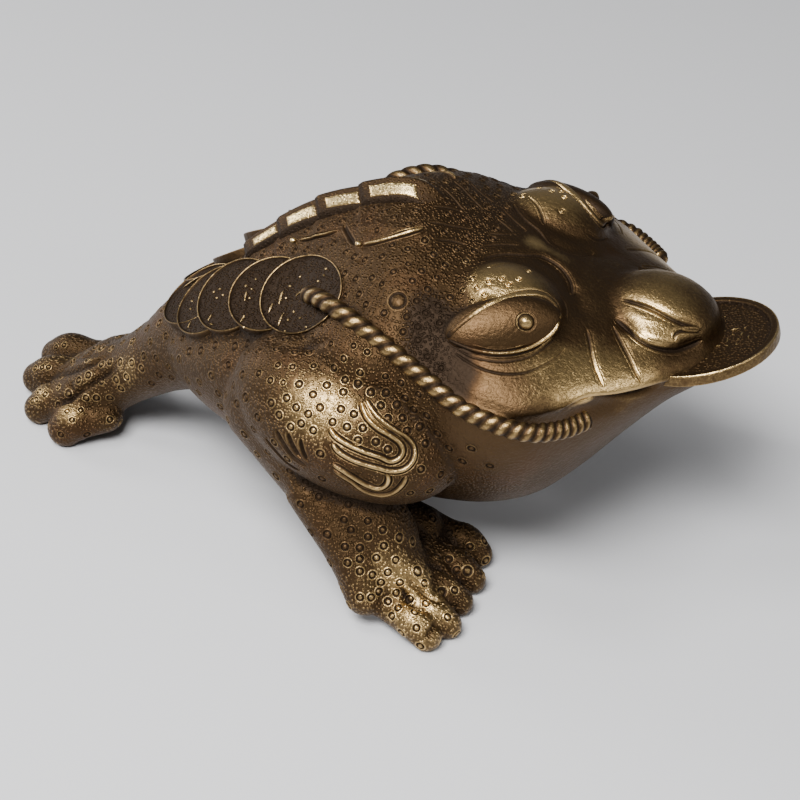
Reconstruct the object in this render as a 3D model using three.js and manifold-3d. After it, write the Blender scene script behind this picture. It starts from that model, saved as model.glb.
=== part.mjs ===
// A three-legged money toad cast in bronze: it crouches on two front feet and one tail-like hind leg,
// holds a large coin in its mouth and wears a rope that threads a string of coins round its rump.
// Millimetres, +X towards the mouth, +Y to the toad's left, +Z up, the soles on Z = 0.
import * as THREE from 'three';
import { mergeVertices } from 'three/addons/utils/BufferGeometryUtils.js';
import Module from 'manifold-3d';

const wasm = await Module();
wasm.setup();

// Driving dimensions of the casting.
const LENGTH = 185; // from the hind toes to the lip coin's edge
const LIP_COIN_RADIUS = 17;
const LIP_COIN_THICKNESS = 2.6;
const LIP_COIN_RIM = 2.4; // width of the raised rim
const LIP_COIN_RECESS = 0.7; // how far the face is sunk below the rim
const LIP_COIN_TILT = 17; // degrees, the free edge up
const BACK_COIN_RADIUS = 9.8;
const BACK_COIN_THICKNESS = 2.2;
const BACK_COIN_RIM = 1.1;
const BACK_COIN_RECESS = 0.5;
const RIM_SLOPE = 0.3; // how far a coin's rim slopes in down to its face
const ROPE_RADIUS = 2.0;
const ROPE_STRAND = 4.4; // length of rope from one strand's crest to the next
const SCUTE_THICKNESS = 2.4; // how far a scute's tail end stands above the back
const CREST_WIDTH = 6.5; // of the flat strip along the top of each scute
const CREST_HEIGHT = 1.1; // how far that strip stands above its scute
const BROW_CREST_RADIUS = 1.1;
const LID_RADIUS = 0.95;
const PUPIL_RADIUS = 1.7;
const CREASE_DEPTH = 0.9;
const SMALLEST_FACET = 0.15; // carving shallower than this is left out of the solid

// The pose and the proportions are shares of the length, written as they measure on a toad of 185 mm.
const UNIT = LENGTH / 185;
const at = (x, y, z) => new THREE.Vector3(x, y, z).multiplyScalar(UNIT);

// A closed surface through rings of equal count, each end closed by a fan to its middle.
function skin(rings) {
  const sides = rings[0].length;
  const points = rings.flat();
  const faces = [];
  for (let i = 0; i + 1 < rings.length; i++) {
    for (let j = 0; j < sides; j++) {
      const a = i * sides + j;
      const b = i * sides + ((j + 1) % sides);
      faces.push(a, b, b + sides, a, b + sides, a + sides);
    }
  }
  for (const [ring, first, turn] of [[rings[0], 0, 1], [rings.at(-1), (rings.length - 1) * sides, -1]]) {
    const middle = ring.reduce((sum, p) => sum.add(p), new THREE.Vector3()).divideScalar(sides);
    points.push(middle);
    for (let j = 0; j < sides; j++) {
      const a = first + j;
      const b = first + ((j + 1) % sides);
      faces.push(...(turn > 0 ? [b, a, points.length - 1] : [a, b, points.length - 1]));
    }
  }
  return new THREE.BufferGeometry().setFromPoints(points).setIndex(faces);
}

// The solid of a closed geometry, turned to face out.
function solid(geometry) {
  const bare = new THREE.BufferGeometry();
  bare.setAttribute('position', geometry.getAttribute('position').clone());
  bare.setIndex(geometry.index);
  const merged = mergeVertices(bare, 1e-3);
  const vertProperties = merged.attributes.position.array;
  const make = (triVerts) => new wasm.Manifold(new wasm.Mesh({ numProp: 3, vertProperties, triVerts }));
  const faces = new Uint32Array(merged.index.array);
  const made = make(faces);
  return made.volume() > 0 ? made : make(faces.reverse());
}

function geometryOf(manifold) {
  const mesh = manifold.getMesh();
  const geometry = new THREE.BufferGeometry();
  geometry.setAttribute('position', new THREE.BufferAttribute(new Float32Array(mesh.vertProperties), 3));
  geometry.setIndex(new THREE.BufferAttribute(new Uint32Array(mesh.triVerts), 1));
  return geometry;
}

const fuse = (solids) => solids.reduce((all, one) => all.add(one));
const bothSides = (geometry) => [solid(geometry), solid(geometry.clone().scale(1, -1, 1))];

// A row of a table of stations at x, on a smooth curve through the rows.
function rowAt(stations, x) {
  const last = stations.length - 1;
  let i = 0;
  while (i < last - 1 && x > stations[i + 1][0]) i++;
  const slope = (k, column) => {
    const [before, after] = [stations[Math.max(k - 1, 0)], stations[Math.min(k + 1, last)]];
    return (after[column] - before[column]) / (after[0] - before[0]);
  };
  const [low, high] = [stations[i], stations[i + 1]];
  const span = high[0] - low[0];
  const t = THREE.MathUtils.clamp((x - low[0]) / span, 0, 1);
  return low.map(
    (value, c) =>
      value * (1 + 2 * t) * (1 - t) ** 2 +
      slope(i, c) * span * t * (1 - t) ** 2 +
      high[c] * t ** 2 * (3 - 2 * t) +
      slope(i + 1, c) * span * t ** 2 * (t - 1),
  );
}

// The trunk and head, a table over x: top, height of the widest line, bottom, half-width, how far the jaw
// sits in from the lip, and how full the upper half of the section is.
const TRUNK = [
  [-50, 38, 34, 30, 6, 0, 1.9],
  [-45, 42.5, 36, 26, 15, 0, 1.8],
  [-38, 49, 38, 21, 22, 0, 1.6],
  [-28, 59.6, 42, 16, 28.5, 0, 1.45],
  [-15, 70.6, 47, 12, 33.5, 0, 1.4],
  [0, 78.4, 51, 10.5, 37, 0, 1.7],
  [12, 81, 54, 10, 39, 0, 1.95],
  [24, 77.3, 56, 10.5, 40.5, 0, 1.95],
  [36, 74.5, 57.5, 14, 42.5, 0, 1.8],
  [46, 71, 58, 19.6, 41, 0.3, 1.7],
  [54, 68.5, 58, 27.2, 34, 1.6, 1.7],
  [62, 66.5, 58, 37, 26, 2, 1.7],
  [70, 65.5, 58, 46, 18, 2, 1.7],
  [76, 63.5, 57.5, 50.5, 11.5, 1.6, 1.7],
  [79.5, 60, 57, 53, 5, 0.8, 1.7],
];
const BELLY_FULLNESS = 2.05;
const LIP_GAP = 1.1; // height of the mouth's slit

// A point of the trunk's surface at x: turn goes from 0 on the back, through 1 on the widest line,
// to 2 under the belly.
function trunkPoint(x, turn, side) {
  const [, top, wide, bottom, half, jaw, fullness] = rowAt(TRUNK, x);
  const angle = (turn * Math.PI) / 2;
  const upper = turn <= 1;
  const power = 2 / (upper ? fullness : BELLY_FULLNESS);
  const out = Math.max(Math.sin(angle), 0) ** power * (upper ? half : half - jaw);
  const slit = Math.min(jaw, LIP_GAP);
  const rise = Math.abs(Math.cos(angle)) ** power;
  return at(x, side * out, upper ? wide + (top - wide) * rise : wide - slit - (wide - slit - bottom) * rise);
}

// The height of the back at x, a distance out from the spine.
function backHeight(x, out) {
  const [, top, wide, , half, , fullness] = rowAt(TRUNK, x);
  return wide + (top - wide) * (1 - (Math.abs(out) / half) ** fullness) ** (1 / fullness);
}

const NECK = 40; // where the rings come closer together, for the head
const BODY_RINGS = 14;
const HEAD_RINGS = 10;
const LIP_TURNS = [0.89, 1, 1.0001]; // the lip's edge and, straight under it, the top of the mouth's slit
const TURNS = [0, 0.19, 0.38, 0.57, 0.75, ...LIP_TURNS, 1.24, 1.5, 1.75, 2];
function spread(from, to, count) {
  return Array.from({ length: count }, (_, i) => from + ((to - from) * i) / count);
}
function trunk() {
  const [tail, nose] = [TRUNK[0][0], TRUNK.at(-1)[0]];
  const cuts = [...spread(tail, NECK, BODY_RINGS), ...spread(NECK, nose, HEAD_RINGS), nose];
  const rings = cuts.map((x) => {
    const right = TURNS.map((turn) => trunkPoint(x, turn, -1));
    const left = TURNS.slice(1, -1).map((turn) => trunkPoint(x, turn, 1));
    return [...right, ...left.reverse()];
  });
  return solid(skin(rings));
}

// A limb: a round-ended tube of oval section through stations of [x, y, z, half-width, half-height].
function limb(stations, { sides = 12, steps = 12, capRings = 2 } = {}) {
  const line = new THREE.CatmullRomCurve3(stations.map(([x, y, z]) => at(x, y, z)));
  const oval = new THREE.CatmullRomCurve3(stations.map(([, , , w, h]) => at(w, h, 0)));
  const rings = [];
  const ring = (t, shrink, along) => {
    const middle = line.getPoint(t);
    const heading = line.getTangent(t);
    const across = new THREE.Vector3(0, 0, 1).cross(heading).normalize();
    const up = heading.clone().cross(across);
    const size = oval.getPoint(t);
    middle.addScaledVector(heading, along * Math.min(size.x, size.y));
    rings.push(
      Array.from({ length: sides }, (_, j) => {
        const turn = (2 * Math.PI * j) / sides;
        return middle
          .clone()
          .addScaledVector(across, shrink * size.x * Math.cos(turn))
          .addScaledVector(up, shrink * size.y * Math.sin(turn));
      }),
    );
  };
  const capTurn = (k) => (k * Math.PI) / 2 / (capRings + 0.5);
  for (let k = capRings; k > 0; k--) {
    ring(0, Math.cos(capTurn(k)), -Math.sin(capTurn(k)));
  }
  for (let i = 0; i <= steps; i++) {
    ring(i / steps, 1, 0);
  }
  for (let k = 1; k <= capRings; k++) {
    ring(1, Math.cos(capTurn(k)), Math.sin(capTurn(k)));
  }
  return skin(rings);
}

// An egg: a sphere stretched to its half-axes, then pitched (nose down positive) and yawed in degrees.
function egg([x, y, z], [a, b, c], pitch = 0, yaw = 0, around = 20, rows = 12) {
  const geometry = new THREE.SphereGeometry(1, around, rows).rotateX(Math.PI / 2);
  geometry.scale(a * UNIT, b * UNIT, c * UNIT);
  geometry.rotateY(THREE.MathUtils.degToRad(pitch)).rotateZ(THREE.MathUtils.degToRad(yaw));
  return geometry.translate(...at(x, y, z));
}

// The brow domes with the thin crest along each, the nose and its two wings.
const DOME = { middle: [35, -17.4, 66.4], axes: [13.5, 12, 10.4] };
const BROW_CREST = [
  [22.5, -11.5, 72],
  [28.5, -12.5, 77.6],
  [35.5, -13.5, 79.8],
  [42, -13.8, 78],
  [46.3, -13.6, 72.8],
  [48, -14, 66],
];
const NOSE = { middle: [66, 0, 63.6], axes: [14, 13, 8] };
const NOSE_WING = { middle: [66, -10.5, 62.3], axes: [8.5, 4.6, 4.4] };
const NOSTRIL = { middle: [70.5, -11.6, 63.8], axes: [3.2, 1.5, 1.7] };
function head() {
  const crest = tube(BROW_CREST.map((p) => at(...p)), BROW_CREST_RADIUS, 5);
  return [
    ...bothSides(egg(DOME.middle, DOME.axes, 12, -6, 14, 9)),
    ...bothSides(crest),
    solid(egg(NOSE.middle, NOSE.axes, 5, 0, 16, 8)),
    ...bothSides(egg(NOSE_WING.middle, NOSE_WING.axes, 8, 26, 10, 6)),
  ];
}

// The eye: an almond ball between two lids, on a plane that leans out from the head's side.
const EYE = { middle: [36.6, -27.2, 69.4], long: 13.4, high: 7, bulge: 4, lean: 0.12 };
const BALL_SHARE = 0.93; // of the opening between the lids
const PUPIL = [4.4, -0.3, 3.44]; // along the eye, up and out
function eyePlane() {
  const out = new THREE.Vector3(0.3, -0.78, 0.55).normalize();
  const along = new THREE.Vector3(0.88, 0.45, 0.15);
  along.addScaledVector(out, -along.dot(out)).normalize();
  return new THREE.Matrix4().makeBasis(along, out.clone().cross(along), out).setPosition(at(...EYE.middle));
}
function eye() {
  const plane = eyePlane();
  const lid = (rise) => {
    const points = Array.from({ length: 9 }, (_, i) => {
      const t = -1 + i / 4;
      const bow = 1 - Math.abs(t) ** 2.2;
      const height = (EYE.lean * t + rise * bow) * EYE.high;
      return at(EYE.long * t, height, EYE.bulge * 0.62 * bow + 0.3).applyMatrix4(plane);
    });
    return tube(points, LID_RADIUS, 4);
  };
  const ball = new THREE.SphereGeometry(UNIT, 10, 6);
  ball.scale(EYE.long * BALL_SHARE, EYE.high * BALL_SHARE, EYE.bulge).applyMatrix4(plane);
  const pupil = new THREE.SphereGeometry(PUPIL_RADIUS, 6, 4);
  pupil.translate(...at(...PUPIL)).applyMatrix4(plane);
  return [ball, pupil, lid(1.05), lid(-0.95)].flatMap(bothSides);
}

// A thin round-sectioned tube along a curve, with a ring of each radius at equal steps and closed ends.
function ringsAlong(line, radii, sides) {
  const frames = line.computeFrenetFrames(radii.length - 1);
  const rings = radii.map((radius, i) => {
    const middle = line.getPointAt(i / (radii.length - 1));
    return Array.from({ length: sides }, (_, j) => {
      const turn = (2 * Math.PI * j) / sides;
      return middle
        .clone()
        .addScaledVector(frames.normals[i], radius * Math.cos(turn))
        .addScaledVector(frames.binormals[i], radius * Math.sin(turn));
    });
  });
  return skin(rings);
}

// A tube through points, its two end rings half as thick.
function tube(points, radius, sides) {
  const isEnd = (i) => i === 0 || i === points.length - 1;
  const radii = points.map((_, i) => (isEnd(i) ? radius / 2 : radius));
  return ringsAlong(new THREE.CatmullRomCurve3(points), radii, sides);
}

// A front leg: the haunch, the forearm that folds back under it, the fan of the foot and its five toes.
const HAUNCH = { middle: [5, -33.5, 42.8], axes: [27, 17, 16], pitch: 15, yaw: -6 };
const FRONT_TOE_RADIUS = 3.5;
const FRONT_TOES = [
  [23, -20.5, 8, 33.2, -21, 3.2],
  [22, -29.5, 8.5, 34.4, -30.3, 3.2],
  [20.5, -37.5, 8, 34, -38.6, 3.1],
  [18.5, -44, 7, 33.8, -46.6, 2.9],
  [15, -48.5, 6, 30.8, -52, 2.8],
];
const SHOULDER = { middle: [9, -27.5, 58.5], axes: [15, 13, 10] };
function frontLeg() {
  const shoulder = egg(SHOULDER.middle, SHOULDER.axes, 0, 0, 12, 7);
  const haunch = egg(HAUNCH.middle, HAUNCH.axes, HAUNCH.pitch, HAUNCH.yaw, 18, 10);
  const forearm = limb(
    [
      [-12, -32, 42, 11, 13.5],
      [-0.5, -36, 31, 9.5, 11.5],
      [11, -38.5, 20.5, 9, 10],
      [17, -39, 11.5, 10.5, 8.5],
      [20, -37, 7, 14, 6.5],
    ],
    { sides: 12, steps: 4, capRings: 1 },
  );
  const instep = limb(
    [
      [13, -37, 7, 13, 8],
      [19, -35.5, 6, 15, 7],
      [25, -34.5, 4.8, 16, 6],
    ],
    { sides: 10, steps: 3, capRings: 1 },
  );
  const toes = FRONT_TOES.map((ends) => toe(ends.slice(0, 3), ends.slice(3), FRONT_TOE_RADIUS));
  return [shoulder, haunch, forearm, instep, ...toes].flatMap(bothSides);
}

// A toe from its root to its tip, swelling at the knuckle and bending down past it.
function toe(root, tip, radius) {
  const between = (t, lift, swell) => [
    root[0] + (tip[0] - root[0]) * t,
    root[1] + (tip[1] - root[1]) * t,
    root[2] + (tip[2] - root[2]) * t + lift,
    radius * swell,
    radius * swell,
  ];
  const foot = between(-0.3, -0.6, 0.95);
  const knuckle = between(0.7, 1.2, 1.1);
  const stations = [foot, between(0.25, 0.2, 0.95), knuckle, between(1, 0, 0.95)];
  return limb(stations, { sides: 6, steps: 3, capRings: 1 });
}

// The hind leg, trailing back from the rump, and its four toes: root, tip and radius of each.
const HIND_TOES = [
  [-76, 14, 8.5, -89.5, 15.6, 4.6, 4.5],
  [-76, 5, 8, -89.9, 5.6, 4, 4.4],
  [-74, -3, 7.5, -84.2, -5.6, 3.6, 4.2],
  [-68, -8, 7, -74.4, -11.4, 4, 4.8],
];
function hindLeg() {
  const leg = limb(
    [
      [-36, 0, 34, 20, 16],
      [-44, 0, 30.5, 15, 12],
      [-52, 0, 24.5, 11.5, 9],
      [-60, 1, 18, 10.5, 8],
      [-67, 2.5, 13, 13, 8.5],
      [-76, 3.5, 6.4, 14, 7.4],
    ],
    { sides: 12, steps: 7 },
  );
  const toes = HIND_TOES.map((row) => toe(row.slice(0, 3), row.slice(3, 6), row[6]));
  return [leg, ...toes].map(solid);
}

// A coin with a raised rim round a sunk face, its axis +Z and its middle at the origin.
function coin(radius, thickness, rim, recess, around) {
  const [r, h] = [radius, thickness / 2];
  const outline = [
    [0, -h],
    [r, -h],
    [r, h],
    [r - rim, h],
    [r - rim - RIM_SLOPE, h - recess],
    [0, h - recess],
  ].map(([x, y]) => new THREE.Vector2(x, y));
  return new THREE.LatheGeometry(outline, around).rotateX(Math.PI / 2);
}

// The coin in the mouth: its free edge is the toad's foremost point, and its middle is level with the lips.
const FOREMOST = 90.97;
const LIPS_HEIGHT = 58.6;
function lipCoin() {
  const geometry = coin(LIP_COIN_RADIUS, LIP_COIN_THICKNESS, LIP_COIN_RIM, LIP_COIN_RECESS, 28);
  const tilt = THREE.MathUtils.degToRad(LIP_COIN_TILT);
  const reach = LIP_COIN_RADIUS * Math.cos(tilt) + (LIP_COIN_THICKNESS / 2) * Math.sin(tilt);
  return solid(geometry.rotateY(-tilt).translate(FOREMOST * UNIT - reach, 0, LIPS_HEIGHT * UNIT));
}

// The string of coins, each leaning on the one behind it: middle and the way its face looks.
const COIN_STRING = [
  [-9.8, -22.3, 63.4, -0.1, -0.68, 0.73],
  [-17.6, -21, 59.8, -0.2, -0.62, 0.74],
  [-25, -18.8, 55.8, -0.3, -0.58, 0.74],
  [-32, -14.5, 52.6, -0.42, -0.52, 0.74],
  [-38.8, -7, 50, -0.62, -0.25, 0.74],
];
function backCoins() {
  return COIN_STRING.flatMap(([x, y, z, nx, ny, nz]) => {
    const geometry = coin(BACK_COIN_RADIUS, BACK_COIN_THICKNESS, BACK_COIN_RIM, BACK_COIN_RECESS, 14);
    const facing = new THREE.Vector3(nx, ny, nz).normalize();
    geometry.applyQuaternion(new THREE.Quaternion().setFromUnitVectors(new THREE.Vector3(0, 0, 1), facing));
    return bothSides(geometry.translate(...at(x, y, z)));
  });
}

// The rope, from the first coin over the shoulder and along the jaw to the corner of the mouth.
const ROPE_ROUTE = [
  [-10.5, -22, 64],
  [-5.5, -26.8, 67.2],
  [1, -31.5, 68.4],
  [9, -34.5, 66.5],
  [17, -37, 63.7],
  [25, -39.8, 60.7],
  [33, -42.5, 58],
  [41, -44, 56.6],
  [48, -43.2, 55.4],
  [54, -38.8, 54.6],
  [58, -33.8, 54.6],
];
function rope() {
  const line = new THREE.CatmullRomCurve3(ROPE_ROUTE.map((p) => at(...p)));
  const halfStrands = 2 * Math.round(line.getLength() / ROPE_STRAND);
  const swells = Array.from({ length: halfStrands + 1 }, (_, i) => (i % 2 ? 1.05 : 0.8));
  return bothSides(ringsAlong(line, swells.map((swell) => swell * ROPE_RADIUS), 5));
}

// The scutes down the spine: four saddle plates, each with its tail end raised over the plate behind.
const SCUTES = [
  { from: -31.5, to: -18, half: 7 },
  { from: -23.5, to: -9, half: 9.5 },
  { from: -15, to: 1, half: 12 },
  { from: -5.5, to: 14, half: 15 },
];
const SCUTE_ROOT = 2; // how deep a scute is sunk into the back
function scutes() {
  // A point this far above the back, at a share of the way out, then moved out by some millimetres more.
  const above = (x, y, lift, out = 0) => at(x, y, backHeight(x, y)).add(new THREE.Vector3(0, out, lift));
  return SCUTES.flatMap(({ from, to, half }) => {
    const plate = [];
    const crest = [];
    for (const t of [0, 1 / 3, 2 / 3, 1]) {
      const x = from + (to - from) * t;
      const lift = SCUTE_THICKNESS * (1 - 0.8 * t);
      const across = [-1, -0.5, 0.5, 1].map((share) => share * half * (0.82 + 0.18 * t));
      const edge = (y, rise) => above(x + 0.35 * Math.abs(y) * (1 - t), y, rise);
      const upper = across.map((y) => edge(y, lift / 2));
      const lower = across.map((y) => edge(y, -SCUTE_ROOT));
      plate.push([...upper, ...lower.reverse()]);
      const strip = [-1, -0.85, 0.85, 1].map((share) => (share * CREST_WIDTH) / 2);
      const rises = [-SCUTE_ROOT, lift + CREST_HEIGHT, lift + CREST_HEIGHT, -SCUTE_ROOT];
      crest.push(strip.map((out, k) => above(x, 0, rises[k], out)));
    }
    return [solid(skin(plate)), solid(skin(crest))];
  });
}

// Cutters: the creases on the cheek behind the nose, the nostrils, and the ground under the soles.
const CREASES = [
  [[51, -16, 67.8], [55.5, -22, 64.6], [59.6, -27.5, 59.6]],
  [[55.5, -12.5, 67], [61, -17.3, 64.2], [66.4, -21.4, 59.4]],
];
function cutters() {
  const creases = CREASES.flatMap((line) => {
    const path = new THREE.CatmullRomCurve3(line.map((p) => at(...p)));
    return bothSides(tube(path.getPoints(3), CREASE_DEPTH, 4));
  });
  const nostrils = bothSides(egg(NOSTRIL.middle, NOSTRIL.axes, 20, 24, 8, 4));
  const size = 3 * LENGTH;
  const ground = solid(new THREE.BoxGeometry(size, size, size).translate(0, 0, -size / 2));
  return [...creases, ...nostrils, ground];
}

const figure = fuse([
  trunk(),
  ...head(),
  ...eye(),
  ...frontLeg(),
  ...hindLeg(),
  lipCoin(),
  ...backCoins(),
  ...rope(),
  ...scutes(),
])
  .subtract(fuse(cutters()))
  .simplify(SMALLEST_FACET);

// The origin is midway between the lip coin's edge and the hind toes.
const casting = geometryOf(figure);
casting.computeBoundingBox();
casting.translate(-(casting.boundingBox.min.x + casting.boundingBox.max.x) / 2, 0, 0);

const bronze = new THREE.MeshStandardMaterial({ color: 0x6b4a26, roughness: 0.42, metalness: 0.9 });
const toad = new THREE.Mesh(casting, bronze);
toad.name = 'money_toad';

const root = new THREE.Group();
root.add(toad);
export default root;
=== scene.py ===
"""The looks of a money toad cast in bronze, built around its CAD solid.

The forms below are written in the toad's own units, shares of its length as they measure in millimetres on a
toad of 185 mm, with +X towards the mouth, +Y to the toad's left, +Z up and the soles on Z = 0.
"""

import math

import bpy
import numpy as np
from bpy.props import FloatProperty, FloatVectorProperty, PointerProperty
from mathutils import Matrix, Vector
from mathutils.bvhtree import BVHTree
from mathutils.kdtree import KDTree


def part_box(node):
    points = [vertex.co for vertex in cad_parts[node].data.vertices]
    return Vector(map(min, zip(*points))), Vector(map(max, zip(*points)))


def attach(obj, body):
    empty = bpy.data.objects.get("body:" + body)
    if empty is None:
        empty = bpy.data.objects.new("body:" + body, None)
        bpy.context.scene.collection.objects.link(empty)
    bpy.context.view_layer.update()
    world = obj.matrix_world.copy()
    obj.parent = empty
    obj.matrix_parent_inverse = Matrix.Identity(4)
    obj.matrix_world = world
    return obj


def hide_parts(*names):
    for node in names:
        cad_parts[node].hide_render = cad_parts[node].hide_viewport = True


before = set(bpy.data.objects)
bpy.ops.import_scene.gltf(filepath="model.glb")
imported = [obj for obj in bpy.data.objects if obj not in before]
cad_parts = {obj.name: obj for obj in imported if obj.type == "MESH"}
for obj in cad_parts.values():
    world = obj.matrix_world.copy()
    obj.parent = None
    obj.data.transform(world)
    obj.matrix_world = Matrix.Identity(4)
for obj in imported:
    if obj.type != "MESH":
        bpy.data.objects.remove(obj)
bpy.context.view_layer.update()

bl_info = {
    "name": "Money toad",
    "version": (1, 0, 0),
    "blender": (4, 5, 0),
    "location": "View3D > Sidebar > Toad",
    "description": "A three-legged money toad cast in bronze, with its ring marks, rope, coins and scutes",
    "category": "Object",
}

NODE = "money_toad"
MM = 0.001
POSE_LENGTH = 185  # the length that the toad's own units are written for
FOREMOST = 90.97  # where the lip coin's free edge lies, in the toad's own units
LOW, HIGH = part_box(NODE)
UNIT = (HIGH.x - LOW.x) / MM / POSE_LENGTH
FORWARD = HIGH.x / MM - FOREMOST * UNIT
MOST_TRIANGLES = 197000  # in the body, which is the largest piece
ALL_SMOOTH = 180.0  # degrees: no edge of a mesh is sharper than this, so none is shaded sharp
CAST = {}  # the finished skin, which the pieces that lie on it share


def to_frame(points):
    """Points in the toad's own units, as metres in the CAD's frame."""
    return (np.asarray(points, float) * UNIT + (FORWARD, 0, 0)) * MM


def own(length):
    """A length in metres, in the toad's own units."""
    return length / MM / UNIT


# The photograph's view: a camera in millimetres of the CAD's frame, looking down on the toad's right side.
PICTURE = 800  # pixels each way
SENSOR = 36
SEEN_FROM_TO = (0.01, 20)  # metres from the camera
FOCAL_PIXELS = 2234.544
AZIMUTH, ELEVATION, ROLL = (math.radians(a) for a in (17, 35, 2.5))
DISTANCE = 520
TARGET = np.array([8.049, 0, 25.507])


def view_axes():
    """The camera's right, up and back directions."""
    back = np.array(
        [
            math.sin(AZIMUTH) * math.cos(ELEVATION),
            -math.cos(AZIMUTH) * math.cos(ELEVATION),
            math.sin(ELEVATION),
        ]
    )
    level = np.array([math.cos(AZIMUTH), math.sin(AZIMUTH), 0])
    upright = np.cross(back, level)
    right = level * math.cos(ROLL) + upright * math.sin(ROLL)
    up = upright * math.cos(ROLL) - level * math.sin(ROLL)
    return right, up, back


def seen_at(pixels, tree):
    """The points of a surface that the photograph's camera sees at these pixels, with their normals."""
    right, up, back = view_axes()
    start = Vector((TARGET + back * DISTANCE - (FORWARD, 0, 0)) / UNIT)
    found = []
    for x, y in pixels:
        ray = right * (x - PICTURE / 2) / FOCAL_PIXELS - up * (y - PICTURE / 2) / FOCAL_PIXELS - back
        place, normal, _, _ = tree.ray_cast(start, Vector(ray).normalized())
        if place is None:
            raise ValueError(f"the toad isn't seen at pixel {x}, {y}")
        found.append((place, normal))
    return found


# Curves and closed shells

SAME_PLACE = 1e-4  # points of a curve that are nearer than this count as one


def unit(vectors):
    return vectors / np.maximum(np.linalg.norm(vectors, axis=-1, keepdims=True), 1e-12)


def turns_of(count):
    """Angles spaced evenly round a full turn."""
    return np.arange(count) * 2 * math.pi / count


def circle(radius, around):
    """Points round a circle in the plane of X and Y."""
    turns = turns_of(around)
    return np.stack([np.cos(turns), np.sin(turns), np.zeros(around)], axis=1) * radius


def gone_along(line):
    """How far along a line each of its points is."""
    return np.concatenate([[0], np.cumsum(np.linalg.norm(np.diff(line, axis=0), axis=1))])


def headings_of(line):
    """The way that a line runs at each of its points."""
    return unit(np.gradient(line, axis=0))


def level_axes(line):
    """At each point of a line, the level direction across it and the one at right angles to both."""
    headings = headings_of(line)
    across = unit(np.cross(headings, (0, 0, 1)))
    return across, np.cross(across, headings)


def ovals(middles, across, up, wide, high, sides):
    """A ring round each middle, in the plane of two directions, with its reach along each of them."""
    turns = turns_of(sides)
    wide, high = (np.reshape(reach, (len(middles), -1, 1)) for reach in (wide, high))
    return (
        middles[:, None]
        + wide * np.cos(turns)[:, None] * across[:, None]
        + high * np.sin(turns)[:, None] * up[:, None]
    )


def flipped(faces):
    """The same faces, looking the other way."""
    return [face[::-1] for face in faces]


def curve_at(points, t):
    """Points at shares t of a smooth curve through points."""
    p = np.asarray(points, float)
    padded = np.vstack([2 * p[0] - p[1], p, 2 * p[-1] - p[-2]])
    s = np.clip(np.asarray(t, float) * (len(p) - 1), 0, len(p) - 1)
    i = np.minimum(s.astype(int), len(p) - 2)
    w = (s - i)[:, None]
    a, b, c, d = (padded[i + k] for k in range(4))
    pairs = ((a, b), (b, c), (c, d))
    before, here, after = (np.sum((v - u) ** 2, axis=1)[:, None] ** 0.25 for u, v in pairs)
    here = np.where(here < SAME_PLACE, 1, here)
    before = np.where(before < SAME_PLACE, here, before)
    after = np.where(after < SAME_PLACE, here, after)
    start = ((b - a) / before - (c - a) / (before + here) + (c - b) / here) * here
    end = ((c - b) / here - (d - b) / (here + after) + (d - c) / after) * here
    return b + start * w + (3 * (c - b) - 2 * start - end) * w**2 + (2 * (b - c) + start + end) * w**3


def evenly(points, step):
    """Points about a step apart along a smooth curve through points."""
    dense = curve_at(points, np.linspace(0, 1, 40 * len(points)))
    gone = gone_along(dense)
    marks = np.linspace(0, gone[-1], max(2, round(gone[-1] / step) + 1))
    return np.stack([np.interp(marks, gone, dense[:, k]) for k in range(dense.shape[1])], axis=1)


def skin(rings):
    """A closed shell through rings of equal count, each end closed by a fan to its middle."""
    rings = np.asarray(rings, float)
    count, sides, _ = rings.shape
    points = np.vstack([rings.reshape(-1, 3), rings[0].mean(axis=0), rings[-1].mean(axis=0)])
    faces = []
    for i in range(count - 1):
        for j in range(sides):
            a, b = i * sides + j, i * sides + (j + 1) % sides
            faces.append((a, b, b + sides, a + sides))
    first, last = count * sides, count * sides + 1
    for j in range(sides):
        nxt = (j + 1) % sides
        faces.append((nxt, j, first))
        faces.append((last - 1 - sides + j, last - 1 - sides + nxt, last))
    return points, faces


def sheet_faces(rows, columns):
    """The faces of an open sheet of rows and columns of points."""
    starts = [i * columns + j for i in range(rows - 1) for j in range(columns - 1)]
    return [(a, a + columns, a + columns + 1, a + 1) for a in starts]


def mirrored(shell):
    points, faces = shell
    return points * (1, -1, 1), flipped(faces)


def both(shell):
    return [shell, mirrored(shell)]


def row_at(stations, x):
    """A row of a table of stations at x, on a smooth curve through the rows."""
    table = np.asarray(stations, float)
    last = len(table) - 1
    i = int(np.clip(np.searchsorted(table[:, 0], x) - 1, 0, last - 1))
    span = table[i + 1, 0] - table[i, 0]
    t = np.clip((x - table[i, 0]) / span, 0, 1)
    slopes = []
    for k in (i, i + 1):
        before, after = table[max(k - 1, 0)], table[min(k + 1, last)]
        slopes.append((after - before) / (after[0] - before[0]) * span)
    low, high = table[i], table[i + 1]
    return (
        low * (1 + 2 * t) * (1 - t) ** 2
        + slopes[0] * t * (1 - t) ** 2
        + high * t**2 * (3 - 2 * t)
        + slopes[1] * t**2 * (t - 1)
    )


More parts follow.
